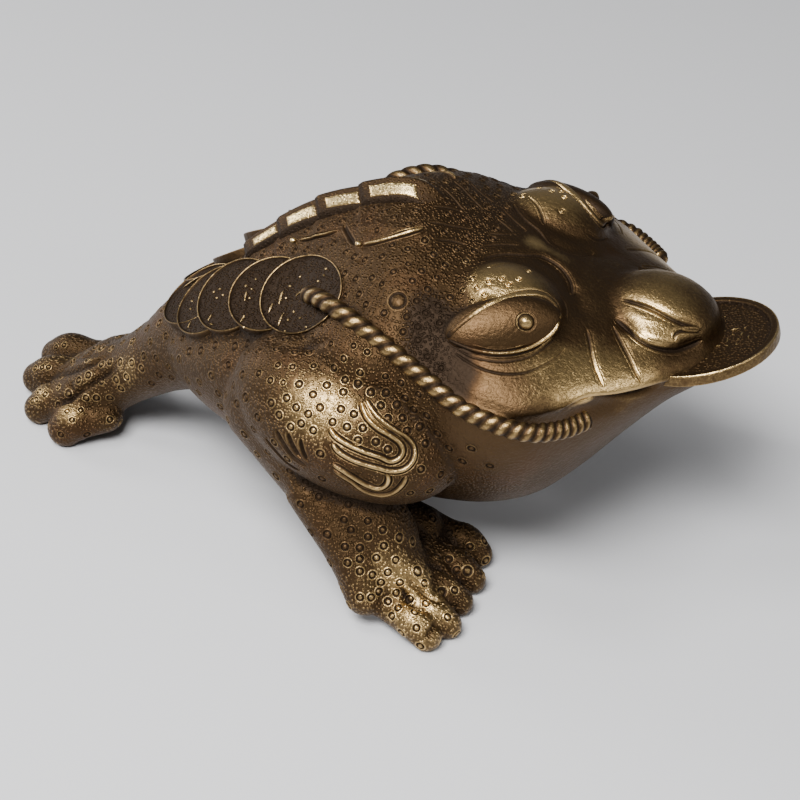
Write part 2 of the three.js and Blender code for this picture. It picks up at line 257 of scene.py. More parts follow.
def limb(stations, sides=48, steps=40, cap_rings=8):
    """A round-ended tube of oval section through stations of x, y, z, half-width and half-height."""
    table = np.asarray(stations, float)
    t = np.linspace(0, 1, steps + 1)
    middles, sizes = curve_at(table[:, :3], t), curve_at(table[:, 3:5], t)
    caps = np.arange(1, cap_rings + 1) * math.pi / 2 / (cap_rings + 0.5)
    bends = np.concatenate([-caps[::-1], np.zeros(steps + 1), caps])
    spots = np.pad(np.arange(steps + 1), cap_rings, "edge")
    headings, sizes = headings_of(middles)[spots], sizes[spots]
    across = unit(np.cross((0, 0, 1), headings))
    up = np.cross(headings, across)
    middles = middles[spots] + headings * (np.sin(bends) * sizes.min(axis=1))[:, None]
    wide, high = (sizes * np.cos(bends)[:, None]).T
    return skin(ovals(middles, across, up, wide, high, sides))


def egg(middle, axes, pitch=0, yaw=0, around=64, rows=32):
    """A ball stretched to its half-axes, then pitched (nose down positive) and yawed in degrees."""
    tilt = np.arange(1, rows) * math.pi / rows
    turn = turns_of(around)
    z = np.cos(tilt)[:, None] * np.ones(around)
    x, y = np.sin(tilt)[:, None] * np.cos(turn), np.sin(tilt)[:, None] * np.sin(turn)
    rings = np.stack([x, y, -z], axis=2) * axes
    p, w = math.radians(pitch), math.radians(yaw)
    pitched = np.array([[math.cos(p), 0, math.sin(p)], [0, 1, 0], [-math.sin(p), 0, math.cos(p)]])
    yawed = np.array([[math.cos(w), -math.sin(w), 0], [math.sin(w), math.cos(w), 0], [0, 0, 1]])
    points, faces = skin(rings)
    points[-2], points[-1] = (0, 0, -axes[2]), (0, 0, axes[2])
    return points @ (yawed @ pitched).T + middle, faces


def tube(points, radius, step=0.4, sides=12, end=0.35):
    """A round tube along a curve, its radius shrinking to a share at both ends."""
    line = evenly(points, step)
    share = np.linspace(0, 1, len(line))
    radii = radius * (end + (1 - end) * np.sqrt(np.sin(math.pi * share).clip(0)))
    return skin(ovals(line, *level_axes(line), radii, radii, sides))


# The forms of the toad, as in the CAD solid, but for the start of the instep and of the fifth toe, which lie
# a little further forward and leave the heel smooth.

# Trunk and head, over x: top, height of the widest line, bottom, half-width, how far the jaw sits in from
# the lip, and how full the upper half of the section is.
TRUNK = [
    [-50, 38, 34, 30, 6, 0, 1.9],
    [-45, 42.5, 36, 26, 15, 0, 1.8],
    [-38, 49, 38, 21, 22, 0, 1.6],
    [-28, 59.6, 42, 16, 28.5, 0, 1.45],
    [-15, 70.6, 47, 12, 33.5, 0, 1.4],
    [0, 78.4, 51, 10.5, 37, 0, 1.7],
    [12, 81, 54, 10, 39, 0, 1.95],
    [24, 77.3, 56, 10.5, 40.5, 0, 1.95],
    [36, 74.5, 57.5, 14, 42.5, 0, 1.8],
    [46, 71, 58, 19.6, 41, 0.3, 1.7],
    [54, 68.5, 58, 27.2, 34, 1.6, 1.7],
    [62, 66.5, 58, 37, 26, 2, 1.7],
    [70, 65.5, 58, 46, 18, 2, 1.7],
    [76, 63.5, 57.5, 50.5, 11.5, 1.6, 1.7],
    [79.5, 60, 57, 53, 5, 0.8, 1.7],
]
BELLY_FULLNESS = 2.05
LIP_GAP = 1.1
DOME = ((35, -17.4, 66.4), (13.5, 12, 10.4), 12, -6)
BROW = [
    [24.5, -30, 64, 3.5, 3.5],
    [30, -26.5, 67, 5, 4.5],
    [36.5, -21, 69.5, 5.5, 5],
]
NOSE = ((64.8, 0, 63.4), (13, 12.8, 8), 6)
NOSE_WING = ((66, -10.5, 62.3), (8.5, 4.6, 4.4), 8, 26)
SHOULDER = ((9, -27.5, 58.5), (15, 13, 10))
HAUNCH = ((5, -33.5, 42.8), (27, 17, 16), 15, -6)
FOREARM = [
    [-12, -32, 42, 11, 13.5],
    [-0.5, -36, 31, 9.5, 11.5],
    [11, -38.5, 20.5, 9, 10],
    [17, -39, 11.5, 10.5, 8.5],
    [20, -37, 7, 14, 6.5],
]
INSTEP = [
    [15.5, -37, 7, 12.5, 7.5],
    [19, -35.5, 6, 15, 7],
    [25, -34.5, 4.8, 16, 6],
]
FRONT_TOES = [
    [23, -20.5, 8, 33.2, -21, 3.2, 3.5],
    [22, -29.5, 8.5, 34.4, -30.3, 3.2, 3.5],
    [20.5, -37.5, 8, 34, -38.6, 3.1, 3.5],
    [18.5, -44, 7, 33.8, -46.6, 2.9, 3.5],
    [19, -48, 6, 30.8, -52, 2.8, 3.5],
]
FOOT_WEB = [
    [5, -30, 19, 6.5, 7],
    [12, -27, 13, 7, 6.5],
    [20, -24, 9.5, 6, 5],
]
FOOT_EDGE = [
    [0, -42, 27, 5.5, 5.5],
    [11, -46, 15, 5, 5.5],
    [15.5, -49, 7.5, 4.5, 4.5],
]
HIND_LEG = [
    [-36, 0, 34, 20, 16],
    [-44, 0, 30.5, 15, 12],
    [-52, 0, 24.5, 11.5, 9],
    [-60, 1, 18, 10.5, 8],
    [-67, 2.5, 13, 13, 8.5],
    [-76, 3.5, 6.4, 14, 7.4],
]
HIND_TOES = [
    [-76, 14, 8.5, -89.5, 15.6, 4.6, 4.5],
    [-76, 5, 8, -89.9, 5.6, 4, 4.4],
    [-74, -3, 7.5, -84.2, -5.6, 3.6, 4.2],
    [-68, -8, 7, -74.4, -11.4, 4, 4.8],
]
EYE = {"middle": (36.6, -27.2, 69.4), "long": 13.4, "high": 7, "bulge": 4}
EYE_OUT, EYE_ALONG = (0.3, -0.78, 0.55), (0.88, 0.45, 0.15)
BALL_SHARE = 0.93
ROPE_ROUTE = [
    [-7.7, -24.8, 65.5],
    [-5.5, -26.8, 67.2],
    [1, -31.5, 68.4],
    [9, -34.5, 66.5],
    [17, -37, 63.7],
    [25, -39.8, 60.7],
    [33, -42.5, 58],
    [41, -44, 56.9],
    [48, -43.2, 56.2],
    [54, -38.8, 55.7],
    [58, -33.8, 56],
]
# The string of coins, each leaning on the one behind it: middle and the way its face looks.
COIN_STRING = [
    [-10.2, -21.1, 62.6, -0.21, -0.53, 0.82],
    [-18.3, -19.1, 59.7, -0.2, -0.46, 0.86],
    [-28, -15.3, 54.9, -0.36, -0.45, 0.82],
    [-34.8, -12.2, 50.1, -0.49, -0.35, 0.8],
    [-40.2, -6.8, 47.1, -0.5, -0.21, 0.84],
]
COIN_SEAT = 2.4  # how far each coin's seat in the flank reaches below it
COIN_COVER = 0.5  # how far below the coin's face its seat ends
SEAT_SHARE = 0.96  # radius of a coin's seat beside the coin's
ROPE_CORE = 0.75  # radius of the rope's core beside the rope's
LIPS_HEIGHT = 58.6
PUPIL_PIXEL = (526, 322)
# The scutes down the spine: where each crest starts and ends, the half-width of its saddle, how high the
# crest's tail end and its front end stand over the back, its width beside an ordinary one's, and how late it
# falls from the one height to the other.
SCUTES = [
    {"spine": (-32.5, -20), "half": 7, "over": (4.4, 3.8), "wide": 0.8, "bow": 1},
    {"spine": (-24.5, -10.5), "half": 9.5, "over": (4.8, 3.7), "wide": 1.0, "bow": 1},
    {"spine": (-15.4, 0), "half": 12, "over": (4.9, 3.3), "wide": 0.95, "bow": 1},
    {"spine": (-5.3, 17), "half": 15, "over": (4.7, -1.6), "wide": 0.95, "bow": 4},
]
SCUTE_KNOBS = [(294, 241), (359, 244.5)]
PLATE_LIFT = 1.3  # how far a saddle's tail end stands above the back


def trunk(step=0.8, turns=96):
    """The trunk and head, with the step of the mouth's slit along their widest line."""
    shares = np.concatenate([np.linspace(0, 1, turns // 2), np.linspace(1.0001, 2, turns // 2)])
    rings = []
    for x in np.arange(TRUNK[0][0], TRUNK[-1][0] + step / 2, step):
        _, top, wide, bottom, half, jaw, fullness = row_at(TRUNK, x)
        upper = shares <= 1
        power = np.where(upper, 2 / fullness, 2 / BELLY_FULLNESS)
        out = np.sin(shares * math.pi / 2).clip(0) ** power * np.where(upper, half, half - jaw)
        rise = np.abs(np.cos(shares * math.pi / 2)) ** power
        under = wide - min(jaw, LIP_GAP)
        height = np.where(upper, wide + (top - wide) * rise, under - (under - bottom) * rise)
        right = np.stack([np.full(len(shares), x), -out, height], axis=1)
        left = right[1:-1][::-1] * (1, -1, 1)
        rings.append(np.vstack([right, left]))
    return skin(rings)


def back_height(x, out):
    """The height of the back at x, a distance out from the spine."""
    _, top, wide, _, half, _, fullness = row_at(TRUNK, x)
    return wide + (top - wide) * (1 - (abs(out) / half) ** fullness) ** (1 / fullness)


def toe(row):
    """A toe from its root to its tip, swelling at the knuckle and bending down past it."""
    root, tip, radius = np.array(row[:3], float), np.array(row[3:6], float), row[6]
    stations = []
    for t, lift, swell in ((-0.3, -0.6, 0.95), (0.25, 0.2, 0.95), (0.7, 1.2, 1.1), (1, 0, 0.95)):
        stations.append([*(root + (tip - root) * t + (0, 0, lift)), radius * swell, radius * swell])
    return limb(stations, sides=28, steps=24)


def eye_plane():
    """The plane that the eye lies on: along it, up it and out of it, as the columns of a matrix."""
    out = unit(np.array(EYE_OUT))
    along = np.array(EYE_ALONG)
    along = unit(along - out * (along @ out))
    return np.stack([along, np.cross(out, along), out], axis=1)


def on_eye(points):
    return np.asarray(points, float) @ eye_plane().T + EYE["middle"]


def disc(radius, thickness, around=64):
    """A plain coin blank, its axis +Z and its middle at the origin."""
    edge = circle(radius, around)
    return skin([edge + (0, 0, -thickness / 2), edge + (0, 0, thickness / 2)])


def facing(direction):
    """The turn that brings +Z to a direction."""
    return np.array(Vector((0, 0, 1)).rotation_difference(Vector(direction)).to_matrix())


def scute_plate(start, end, half, rows=16, columns=16):
    """The saddle of one scute: it follows the back, with its tail end raised and swept forward."""
    rings = []
    for t in np.linspace(0, 1, rows):
        lift = PLATE_LIFT * (1 - 0.8 * t)
        across = np.linspace(-1, 1, columns) * half * (0.82 + 0.18 * t)
        x = start + (end - start) * t + 0.35 * np.abs(across) * (1 - t)
        back = np.array([back_height(px, py) for px, py in zip(x, across)])
        upper = np.stack([x, across, back + lift], axis=1)
        rings.append(np.vstack([upper, upper[::-1] - (0, 0, lift + 2)]))
    return skin(rings)


def shells(sizes):
    """The closed shells that melt into the body."""
    ball_axes = (EYE["long"] * BALL_SHARE, EYE["high"] * BALL_SHARE, EYE["bulge"])
    ball_points, ball_faces = egg((0, 0, 0), ball_axes)
    parts = [trunk(), egg(*NOSE), limb(HIND_LEG), *(toe(row) for row in HIND_TOES)]
    parts += [scute_plate(*scute["spine"], scute["half"]) for scute in SCUTES]
    for shell in (
        egg(*DOME),
        limb(BROW),
        egg(*NOSE_WING),
        egg(*SHOULDER),
        egg(*HAUNCH),
        limb(FOREARM),
        limb(INSTEP),
        limb(FOOT_EDGE),
        limb(FOOT_WEB),
        *(toe(row) for row in FRONT_TOES),
        (on_eye(ball_points), ball_faces),
        tube(ROPE_ROUTE, own(sizes.rope_radius) * ROPE_CORE),
    ):
        parts += both(shell)
    radius, thickness = own(sizes.back_coin_radius), own(sizes.back_coin_thickness)
    for x, y, z, *direction in COIN_STRING:
        points, faces = disc(radius * SEAT_SHARE, thickness + COIN_SEAT)
        points += (0, 0, -COIN_SEAT / 2 - COIN_COVER)
        parts += both((points @ facing(direction).T + (x, y, z), faces))
    return [(np.maximum(points, (-1e3, -1e3, 0)), faces) for points, faces in parts]


# The skin: one surface over all the shells


def joined(parts):
    """Several shells as one list of points and one of faces."""
    points, faces, base = [], [], 0
    for these, their_faces in parts:
        points.append(these)
        faces += [tuple(base + k for k in face) for face in their_faces]
        base += len(these)
    return np.vstack(points), faces


def wrapped(points, faces, voxel):
    """The one outer surface of overlapping shells, as a mesh of small even squares."""
    mesh = bpy.data.meshes.new("shells")
    mesh.from_pydata(points.tolist(), [], faces)
    holder = bpy.data.objects.new("shells", mesh)
    bpy.context.scene.collection.objects.link(holder)
    remesh = holder.modifiers.new("wrap", "REMESH")
    remesh.mode = "VOXEL"
    remesh.voxel_size = voxel
    remesh.adaptivity = 0
    made = bpy.data.meshes.new_from_object(holder.evaluated_get(bpy.context.evaluated_depsgraph_get()))
    bpy.data.objects.remove(holder)
    bpy.data.meshes.remove(mesh)
    return made


EASING = 0.5  # share of the way to its neighbours' mean that a point moves each time
NORMALS_LAST = 4  # rounds of filling before the normals are worked out again


class Surface:
    """A mesh as arrays, with the sums over neighbours that smoothing and carving need."""

    def __init__(self, mesh):
        count = len(mesh.vertices)
        self.points = np.zeros(count * 3)
        mesh.vertices.foreach_get("co", self.points)
        self.points = self.points.reshape(-1, 3)
        edges = np.zeros(len(mesh.edges) * 2, np.int64)
        mesh.edges.foreach_get("vertices", edges)
        self.edges = edges.reshape(-1, 2)
        corners = np.zeros(len(mesh.loops), np.int64)
        mesh.loops.foreach_get("vertex_index", corners)
        self.quads = corners.reshape(-1, 4)
        self.degree = np.bincount(self.edges.ravel(), minlength=count)[:, None]

    def spread(self, values):
        """The mean of each point's neighbours' values."""
        values = values.reshape(len(self.points), -1)
        a, b = self.edges.T
        total = np.stack(
            [
                np.bincount(a, values[b, k], len(values)) + np.bincount(b, values[a, k], len(values))
                for k in range(values.shape[1])
            ],
            axis=1,
        )
        return total / self.degree

    def normals(self):
        p = self.points[self.quads]
        across = np.cross(p[:, 2] - p[:, 0], p[:, 3] - p[:, 1])
        total = np.zeros_like(self.points)
        for corner in range(4):
            for k in range(3):
                total[:, k] += np.bincount(self.quads[:, corner], across[:, k], len(total))
        return unit(total)

    def smooth(self, times):
        for _ in range(times):
            self.points += (self.spread(self.points) - self.points) * EASING

    def fill(self, times):
        """Rounds the inner corners only, as a cast fillet does."""
        for i in range(times):
            if i % NORMALS_LAST == 0:
                normals = self.normals()
            move = self.spread(self.points) - self.points
            outward = np.sum(move * normals, axis=1, keepdims=True)
            self.points += np.where(outward > 0, outward * normals, 0) * EASING

    def bend(self, times):
        """How hollow the surface is at each point, smoothed some times."""
        hollow = np.sum((self.spread(self.points) - self.points) * self.normals(), axis=1)
        for _ in range(times):
            hollow = self.spread(hollow)[:, 0]
        return hollow

    def tree(self):
        return BVHTree.FromPolygons(self.points.tolist(), self.quads.tolist())

    def flank(self):
        """The points with the left side's folded over onto the right."""
        folded = self.points.copy()
        folded[:, 1] = -np.abs(folded[:, 1])
        return folded


def finder(points):
    """A tree that finds the nearest of some points."""
    tree = KDTree(len(points))
    for i, point in enumerate(points):
        tree.insert(point, i)
    tree.balance()
    return tree


def line_distance(points, line):
    """How far each point is from a polyline, and at which share of it."""
    best = np.full(len(points), 1e9)
    share = np.zeros(len(points))
    for i, (a, b) in enumerate(zip(line[:-1], line[1:])):
        along = b - a
        t = np.clip((points - a) @ along / max(along @ along, 1e-9), 0, 1)
        gap = np.linalg.norm(points - a - t[:, None] * along, axis=1)
        nearer = gap < best
        best[nearer] = gap[nearer]
        share[nearer] = (i + t[nearer]) / (len(line) - 1)
    return best, share


def near_line(points, line, reach):
    low, high = line.min(axis=0) - reach, line.max(axis=0) + reach
    return np.where(np.all((points > low) & (points < high), axis=1))[0]


SHELTER_SEED, MARKS_SEED = 3, 8


# Its value darkens the colour as painted shade, as ambient occlusion would.
def shelter(surface, tree, reach=20.0, stride=16, rays=40, lift=0.3, rounds=6):
    """How shut in each point of the skin is: 0 in the open and 1 in a deep hollow."""
    rng = np.random.default_rng(SHELTER_SEED)
    chosen = np.arange(0, len(surface.points), stride)
    aims = unit(rng.normal(size=(rays, 3)))
    points, normals = surface.points[chosen], surface.normals()[chosen]
    shut = np.zeros(len(chosen))
    for i, (point, normal) in enumerate(zip(points, normals)):
        start = Vector(point + normal * lift)
        gone = 0.0
        for aim in aims + normal * 1.02:
            _, _, _, length = tree.ray_cast(start, Vector(aim), reach)
            gone += 0 if length is None else 1 - length / reach
        shut[i] = gone / rays
    near = finder(points)
    values = np.empty(len(surface.points))
    for i, point in enumerate(surface.points):
        found = near.find_n(point, 3)
        weights = [1 / (gap + 0.05) for _, _, gap in found]
        values[i] = sum(w * shut[k] for w, (_, k, _) in zip(weights, found)) / sum(weights)
    for _ in range(rounds):
        values = surface.spread(values)[:, 0]
    return values


# Soft folds in the skin, by the pixels they pass through in the photograph: half-width and depth in
# millimetres, where a negative depth raises a fold. The far side's are their mirror images.
FOLDS = {
    "cheek_rear": (1.1, 0.12, [(588, 330), (591.5, 348), (597, 369), (602, 384)]),
    "cheek_front": (1.1, 0.12, [(613, 328), (621.5, 347), (633, 367.5), (641, 383)]),
    "nose_top": (1.6, 0.7, [(623, 300), (642, 307.5), (663, 316), (682, 323.5), (698, 328)]),
    "nose_under": (
        1.5,
        0.8,
        [(614, 318), (629, 329), (642, 338), (657, 347), (674, 350), (689, 346), (704, 338)],
    ),
    "mouth_line": (0.8, 1.3, [(560, 413), (572, 407), (589, 401), (619, 396), (642, 391), (663, 383)]),
    "jaw_hollow": (2.4, 0.9, [(556, 423), (575, 415), (600, 407), (630, 401)]),
    "pouch": (2.2, -0.5, [(462, 351), (482, 361), (504, 365), (527, 363), (547, 353), (560, 342)]),
    "brow_patch": (1.7, -0.5, [(534, 241), (549, 240), (562, 250)]),
    "dome_crease": (1.5, 0.7, [(530, 259), (545, 260), (560, 270), (569, 283), (572, 297)]),
    "eye_root": (2.0, 0.5, [(575, 283), (580, 300), (582, 318)]),
    "haunch_edge": (
        1.2, 0.5, [(361, 392), (367, 401), (380, 412), (397, 425), (412, 437), (421, 453), (416, 470)],
    ),
    "lobe_pit": (2.2, 0.5, [(353, 470), (365, 477), (378, 482)]),
    "coin_shadow": (1.0, 0.6, [(268, 340), (284, 345), (302, 346), (322, 342), (338, 336)]),
    "toe_gap_inner": (0.9, 0.9, [(438, 538), (457, 548), (473, 560)]),
    "toe_gap_second": (0.9, 1.0, [(425, 560), (440, 567), (457, 578), (468, 586)]),
    "toe_gap_third": (0.9, 1.0, [(405, 577), (420, 590), (433, 598), (447, 605)]),
    "toe_gap_outer": (0.9, 1.0, [(397, 583), (407, 598), (417, 606), (430, 613)]),
    "toe_nail": (0.7, 0.7, [(426, 640), (432, 630), (438, 621)]),
    "hind_gap_far": (1.0, 0.9, [(60, 357), (79, 356), (94, 354), (110, 349)]),
    "hind_gap_middle": (0.9, 1.2, [(46, 380), (58.5, 374), (74, 370), (90, 364), (103, 357), (113, 354)]),
    "hind_gap_near": (0.9, 1.3, [(53, 406), (67, 400), (77, 393), (96, 380), (107, 373), (117, 364)]),
    "hind_gap_top": (0.9, 0.5, [(94, 346), (108, 341), (121, 336)]),
    "knuckle_far": (0.8, 0.6, [(65, 338), (66, 345), (67, 352)]),
    "knuckle_second": (0.8, 0.5, [(56, 359), (60, 365), (62, 371)]),
    "knuckle_third": (0.8, 0.6, [(69, 382), (71, 388), (73, 394)]),
    "knuckle_third_upper": (0.8, 0.5, [(96, 368), (99, 372), (101.5, 376)]),
    "knuckle_near": (0.9, 0.25, [(83, 400), (88, 406), (92, 412)]),
    "haunch_under": (1.8, 0.6, [(280, 462), (300, 480), (330, 497), (365, 507), (400, 509)]),
}


FOLD_STEP = 0.8
FOLD_REACH = 3  # how far a fold is felt, in its half-widths


def fold(surface, tree):
    """Presses or raises the soft folds on both sides of the skin."""
    normals, flank = surface.normals(), surface.flank()
    total = np.zeros(len(flank))
    for width, depth, pixels in FOLDS.values():
        line = evenly([place for place, _ in seen_at(pixels, tree)], FOLD_STEP)
        near = near_line(flank, line, FOLD_REACH * width)
        gap, share = line_distance(flank[near], line)
        fade = np.minimum(1, 4 * np.minimum(share, 1 - share) + 0.1)
        total[near] += depth * fade * np.exp(-((gap / width) ** 2))
    surface.points -= normals * total[:, None]


# Narrow carved bands, by their pixels: kind, half-width, how high the ridge or how deep the groove is and
# how worn.
EYE_BANDS = {
    "upper_lid": (
        "ridge", 0.7, 0.38, 0.12,
        [(447, 338), (456, 328), (467, 319), (486, 306), (505, 297.5), (524, 293.5), (539, 294), (550, 299),
         (557, 308), (559, 319)],
    ),
    "lower_lid": (
        "ridge", 0.42, 0.5, 0.7,
        [(449, 340), (459, 344.5), (474, 350), (494, 353.5), (513, 352.5), (532, 346.5), (546, 338),
         (555, 329), (559, 321)],
    ),
    "lid_line": (
        "crease", 0.3, 0.22, 0.1,
        [(458, 350), (476, 358), (500, 361.5), (524, 358.5), (543, 349), (556, 337)],
    ),
    "pouch_edge": (
        "crease", 0.3, 0.25, 0.1,
        [(455, 353), (470, 363), (485, 370), (505, 374), (526, 372.5), (542, 366), (554, 359), (565, 349)],
    ),
    "corner_wrinkle": ("crease", 0.3, 0.3, 0.1, [(557, 290), (565, 303), (567, 318)]),
}
FACE_BANDS = {
    "brow_crest": (
        "crease", 0.35, 0.4, 0.1,
        [(480, 261), (488, 257), (505, 254), (525, 255), (543, 257), (560, 267), (570, 281), (573, 295)],
    ),
    "brow_line_top": ("crease", 0.25, 0.25, 0.1, [(488, 233), (503, 234.5), (524, 234)]),
    "neck_line_top": ("crease", 0.25, 0.3, 0.2, [(431, 206), (450, 208), (470, 213)]),
    "neck_line_middle": ("crease", 0.25, 0.3, 0.2, [(428, 222), (452, 226), (472, 229)]),
    "neck_line_under": ("crease", 0.25, 0.3, 0.2, [(434, 239), (452, 241), (468, 245)]),
    "brow_line_middle": ("crease", 0.25, 0.25, 0.1, [(483, 246), (500, 244.5), (519, 245)]),
    "brow_line_under": ("crease", 0.25, 0.25, 0.2, [(487, 267), (505, 263), (523, 264)]),
    "nose_top": (
        "crease", 0.5, 0.5, 0.1,
        [(621, 299.5), (637, 303.5), (654, 310), (670, 318.5), (685, 325), (699, 328.5)],
    ),
    "nose_under": (
        "crease", 0.55, 0.6, 0.2,
        [(614.5, 318), (626, 328.5), (637, 338), (648, 345), (661, 349.5), (676, 350.5), (690, 346),
         (702, 340)],
    ),
    "nostril": (
        "crease", 0.42, 0.5, 0.3,
        [(674.5, 341), (675.5, 335), (679.5, 331.5), (690, 331), (702, 332)],
    ),
    "cheek_rear": (
        "crease", 0.34, 0.34, 0,
        [(587, 329.5), (590, 344), (592, 355), (596.5, 370.5), (603, 386)],
    ),
    "cheek_front": ("crease", 0.34, 0.34, 0, [(613, 326), (622, 344), (630, 359), (636.5, 373), (642, 384)]),
}
SCROLLS = {
    "tongue_inner": (
        "ridge", 0.5, 0.5, 0.6,
        [(361, 401), (364, 411), (369, 420), (379, 429), (391, 436), (400, 443), (403, 451), (399, 458.5),
         (391, 461.5), (380, 457), (369, 453.5), (356, 448.5), (345, 443), (335, 436), (329.5, 428)],
    ),
    "tongue_outer": (
        "ridge", 0.5, 0.5, 0.6,
        [(366, 399), (371, 408.5), (380, 419), (393, 429), (407, 437.5), (414, 446.5), (414.5, 457),
         (409, 466), (401, 470.5), (389.5, 471), (379.5, 468.5), (362, 463.5), (348.5, 458), (338, 451),
         (332, 443.5)],
    ),
    "lobe_inner": (
        "ridge", 0.5, 0.45, 0.7,
        [(332, 464), (345, 472), (359, 481), (369, 486), (379.5, 488.5), (386.5, 484.5), (388.5, 478),
         (386, 473.5)],
    ),
    "lobe_outer": (
        "ridge", 0.5, 0.45, 0.5,
        [(333, 470), (350, 480.5), (365, 491), (379.5, 495), (392, 493), (402, 485), (407, 476)],
    ),
    "flame_tip": ("crease", 0.5, 0.8, 0.4, [(300, 438), (302, 449), (308, 462)]),
    "flame_front": ("crease", 0.6, 0.95, 0.4, [(287, 432), (292, 445), (301, 459)]),
    "flame_middle": ("crease", 0.6, 0.95, 0.4, [(276, 430), (284, 445), (294, 458), (306, 466)]),
    "flame_rear": ("crease", 0.6, 0.95, 0.4, [(265, 438), (275.5, 451), (287, 463), (300, 471)]),
}
SCUTE_EDGES = {
    "first": ("ridge", 0.35, 0.4, 0.95, [(249, 254.5), (257, 250.5), (266, 246)]),
    "second": ("ridge", 0.3, 0.35, 0.8, [(300, 240), (312, 237.5), (325, 234), (338, 230)]),
    "third": ("ridge", 0.45, 0.5, 1.0, [(363, 245), (380, 241), (400, 235), (413, 231), (424, 227.5)]),
    "third_rear": ("crease", 0.5, 0.5, 0.2, [(344, 225), (348, 234), (355, 245)]),
}
BANDS = {"eye": EYE_BANDS, "face": FACE_BANDS, "haunch": SCROLLS, "scutes": SCUTE_EDGES}
GROOVE = 0.38  # depth of the groove on each side of a ridge


PROBE_LIFT = 1.5  # how far off the skin a ray starts that looks for it


def section_of(kind, width, height):
    """A band's section: how far out, how high, how worn and how hollow, from its middle to its edge."""
    if kind == "crease":
        # A crease is darkened towards the darkest tone, deeper ones more: dirt in the groove and painted
        # shade.
        dirt_and_shade = min(1, 0.45 + height * 0.6)
        return [
            (0, -height, 0, dirt_and_shade),
            (width * 0.35, -height * 0.85, 0, dirt_and_shade),
            (width * 0.8, -height * 0.3, 0, dirt_and_shade * 0.8),
            (width + 0.15, 0.01, 0.1, dirt_and_shade * 0.3),
            (width + 0.34, 0.015, 0, 0.05),
            (width + 0.5, 0.01, 0, 0),
            (width + 0.62, -0.05, 0, 0),
            (width + 0.78, -0.3, 0, 0),
        ]
    return [
        (0, height, 1, 0),
        (width * 0.45, height * 0.92, 1, 0),
        (width * 0.85, height * 0.5, 0.4, 0),
        (width + 0.08, -0.1, 0, 0.7),
        (width + 0.2, -GROOVE, 0, 1),
        (width + 0.36, -GROOVE * 0.7, 0, 0.9),
        (width + 0.5, 0.05, 0.5, 0),
        (width + 0.62, 0.03, 0.2, 0),
        (width + 0.8, -0.2, 0, 0),
    ]


class Band:
    """One carved line on the skin: where it runs, and the section that is laid across it."""

    def __init__(self, tree, kind, width, height, worn, pixels):
        self.line, self.normals = skin_line(pixels, tree)
        self.kind, self.width, self.height, self.worn = kind, width, height, worn
        self.reach = width + (0.28 if kind == "crease" else 0.56)
        self.depth = 0.2 + (height if kind == "crease" else GROOVE)

    def lay(self, relief, tree):
        half = section_of(self.kind, self.width, self.height)
        section = [(-out, *rest) for out, *rest in half[:0:-1]] + half
        across = unit(np.cross(self.normals, headings_of(self.line)))
        gone = gone_along(self.line)
        inset = np.clip(np.minimum(gone, gone[-1] - gone) / min(2.2, gone[-1] / 3), 0, 1)
        swell = np.sqrt(inset * (2 - inset))
        points, worn, hollow = [], [], []
        for place, normal, side, full in zip(self.line, self.normals, across, swell):
            for out, high, how_worn, how_hollow in section:
                aim = place + side * out * (0.3 + 0.7 * full)
                hit, _, _, _ = tree.ray_cast(Vector(aim + normal * PROBE_LIFT), Vector(-normal), 3.5)
                base = np.array(hit) if hit else aim
                points.append(base + normal * (high * full if high > -0.15 else high * (0.3 + 0.7 * full)))
                worn.append(how_worn * self.worn * full)
                hollow.append(how_hollow * full)
        faces = sheet_faces(len(self.line), len(section))
        relief.add_mirrored(points, faces, np.array(worn), np.array(hollow))

    def press(self, flank, sink):
        near = near_line(flank, self.line, self.reach)
        gap, share = line_distance(flank[near], self.line)
        edge = np.clip((self.reach - gap) / 0.3, 0, 1)
        ends = np.clip(np.minimum(share, 1 - share) * (len(self.line) * 0.35) / 1.2, 0, 1)
        sink[near] = np.maximum(sink[near], self.depth * edge * ends)


# Ring marks

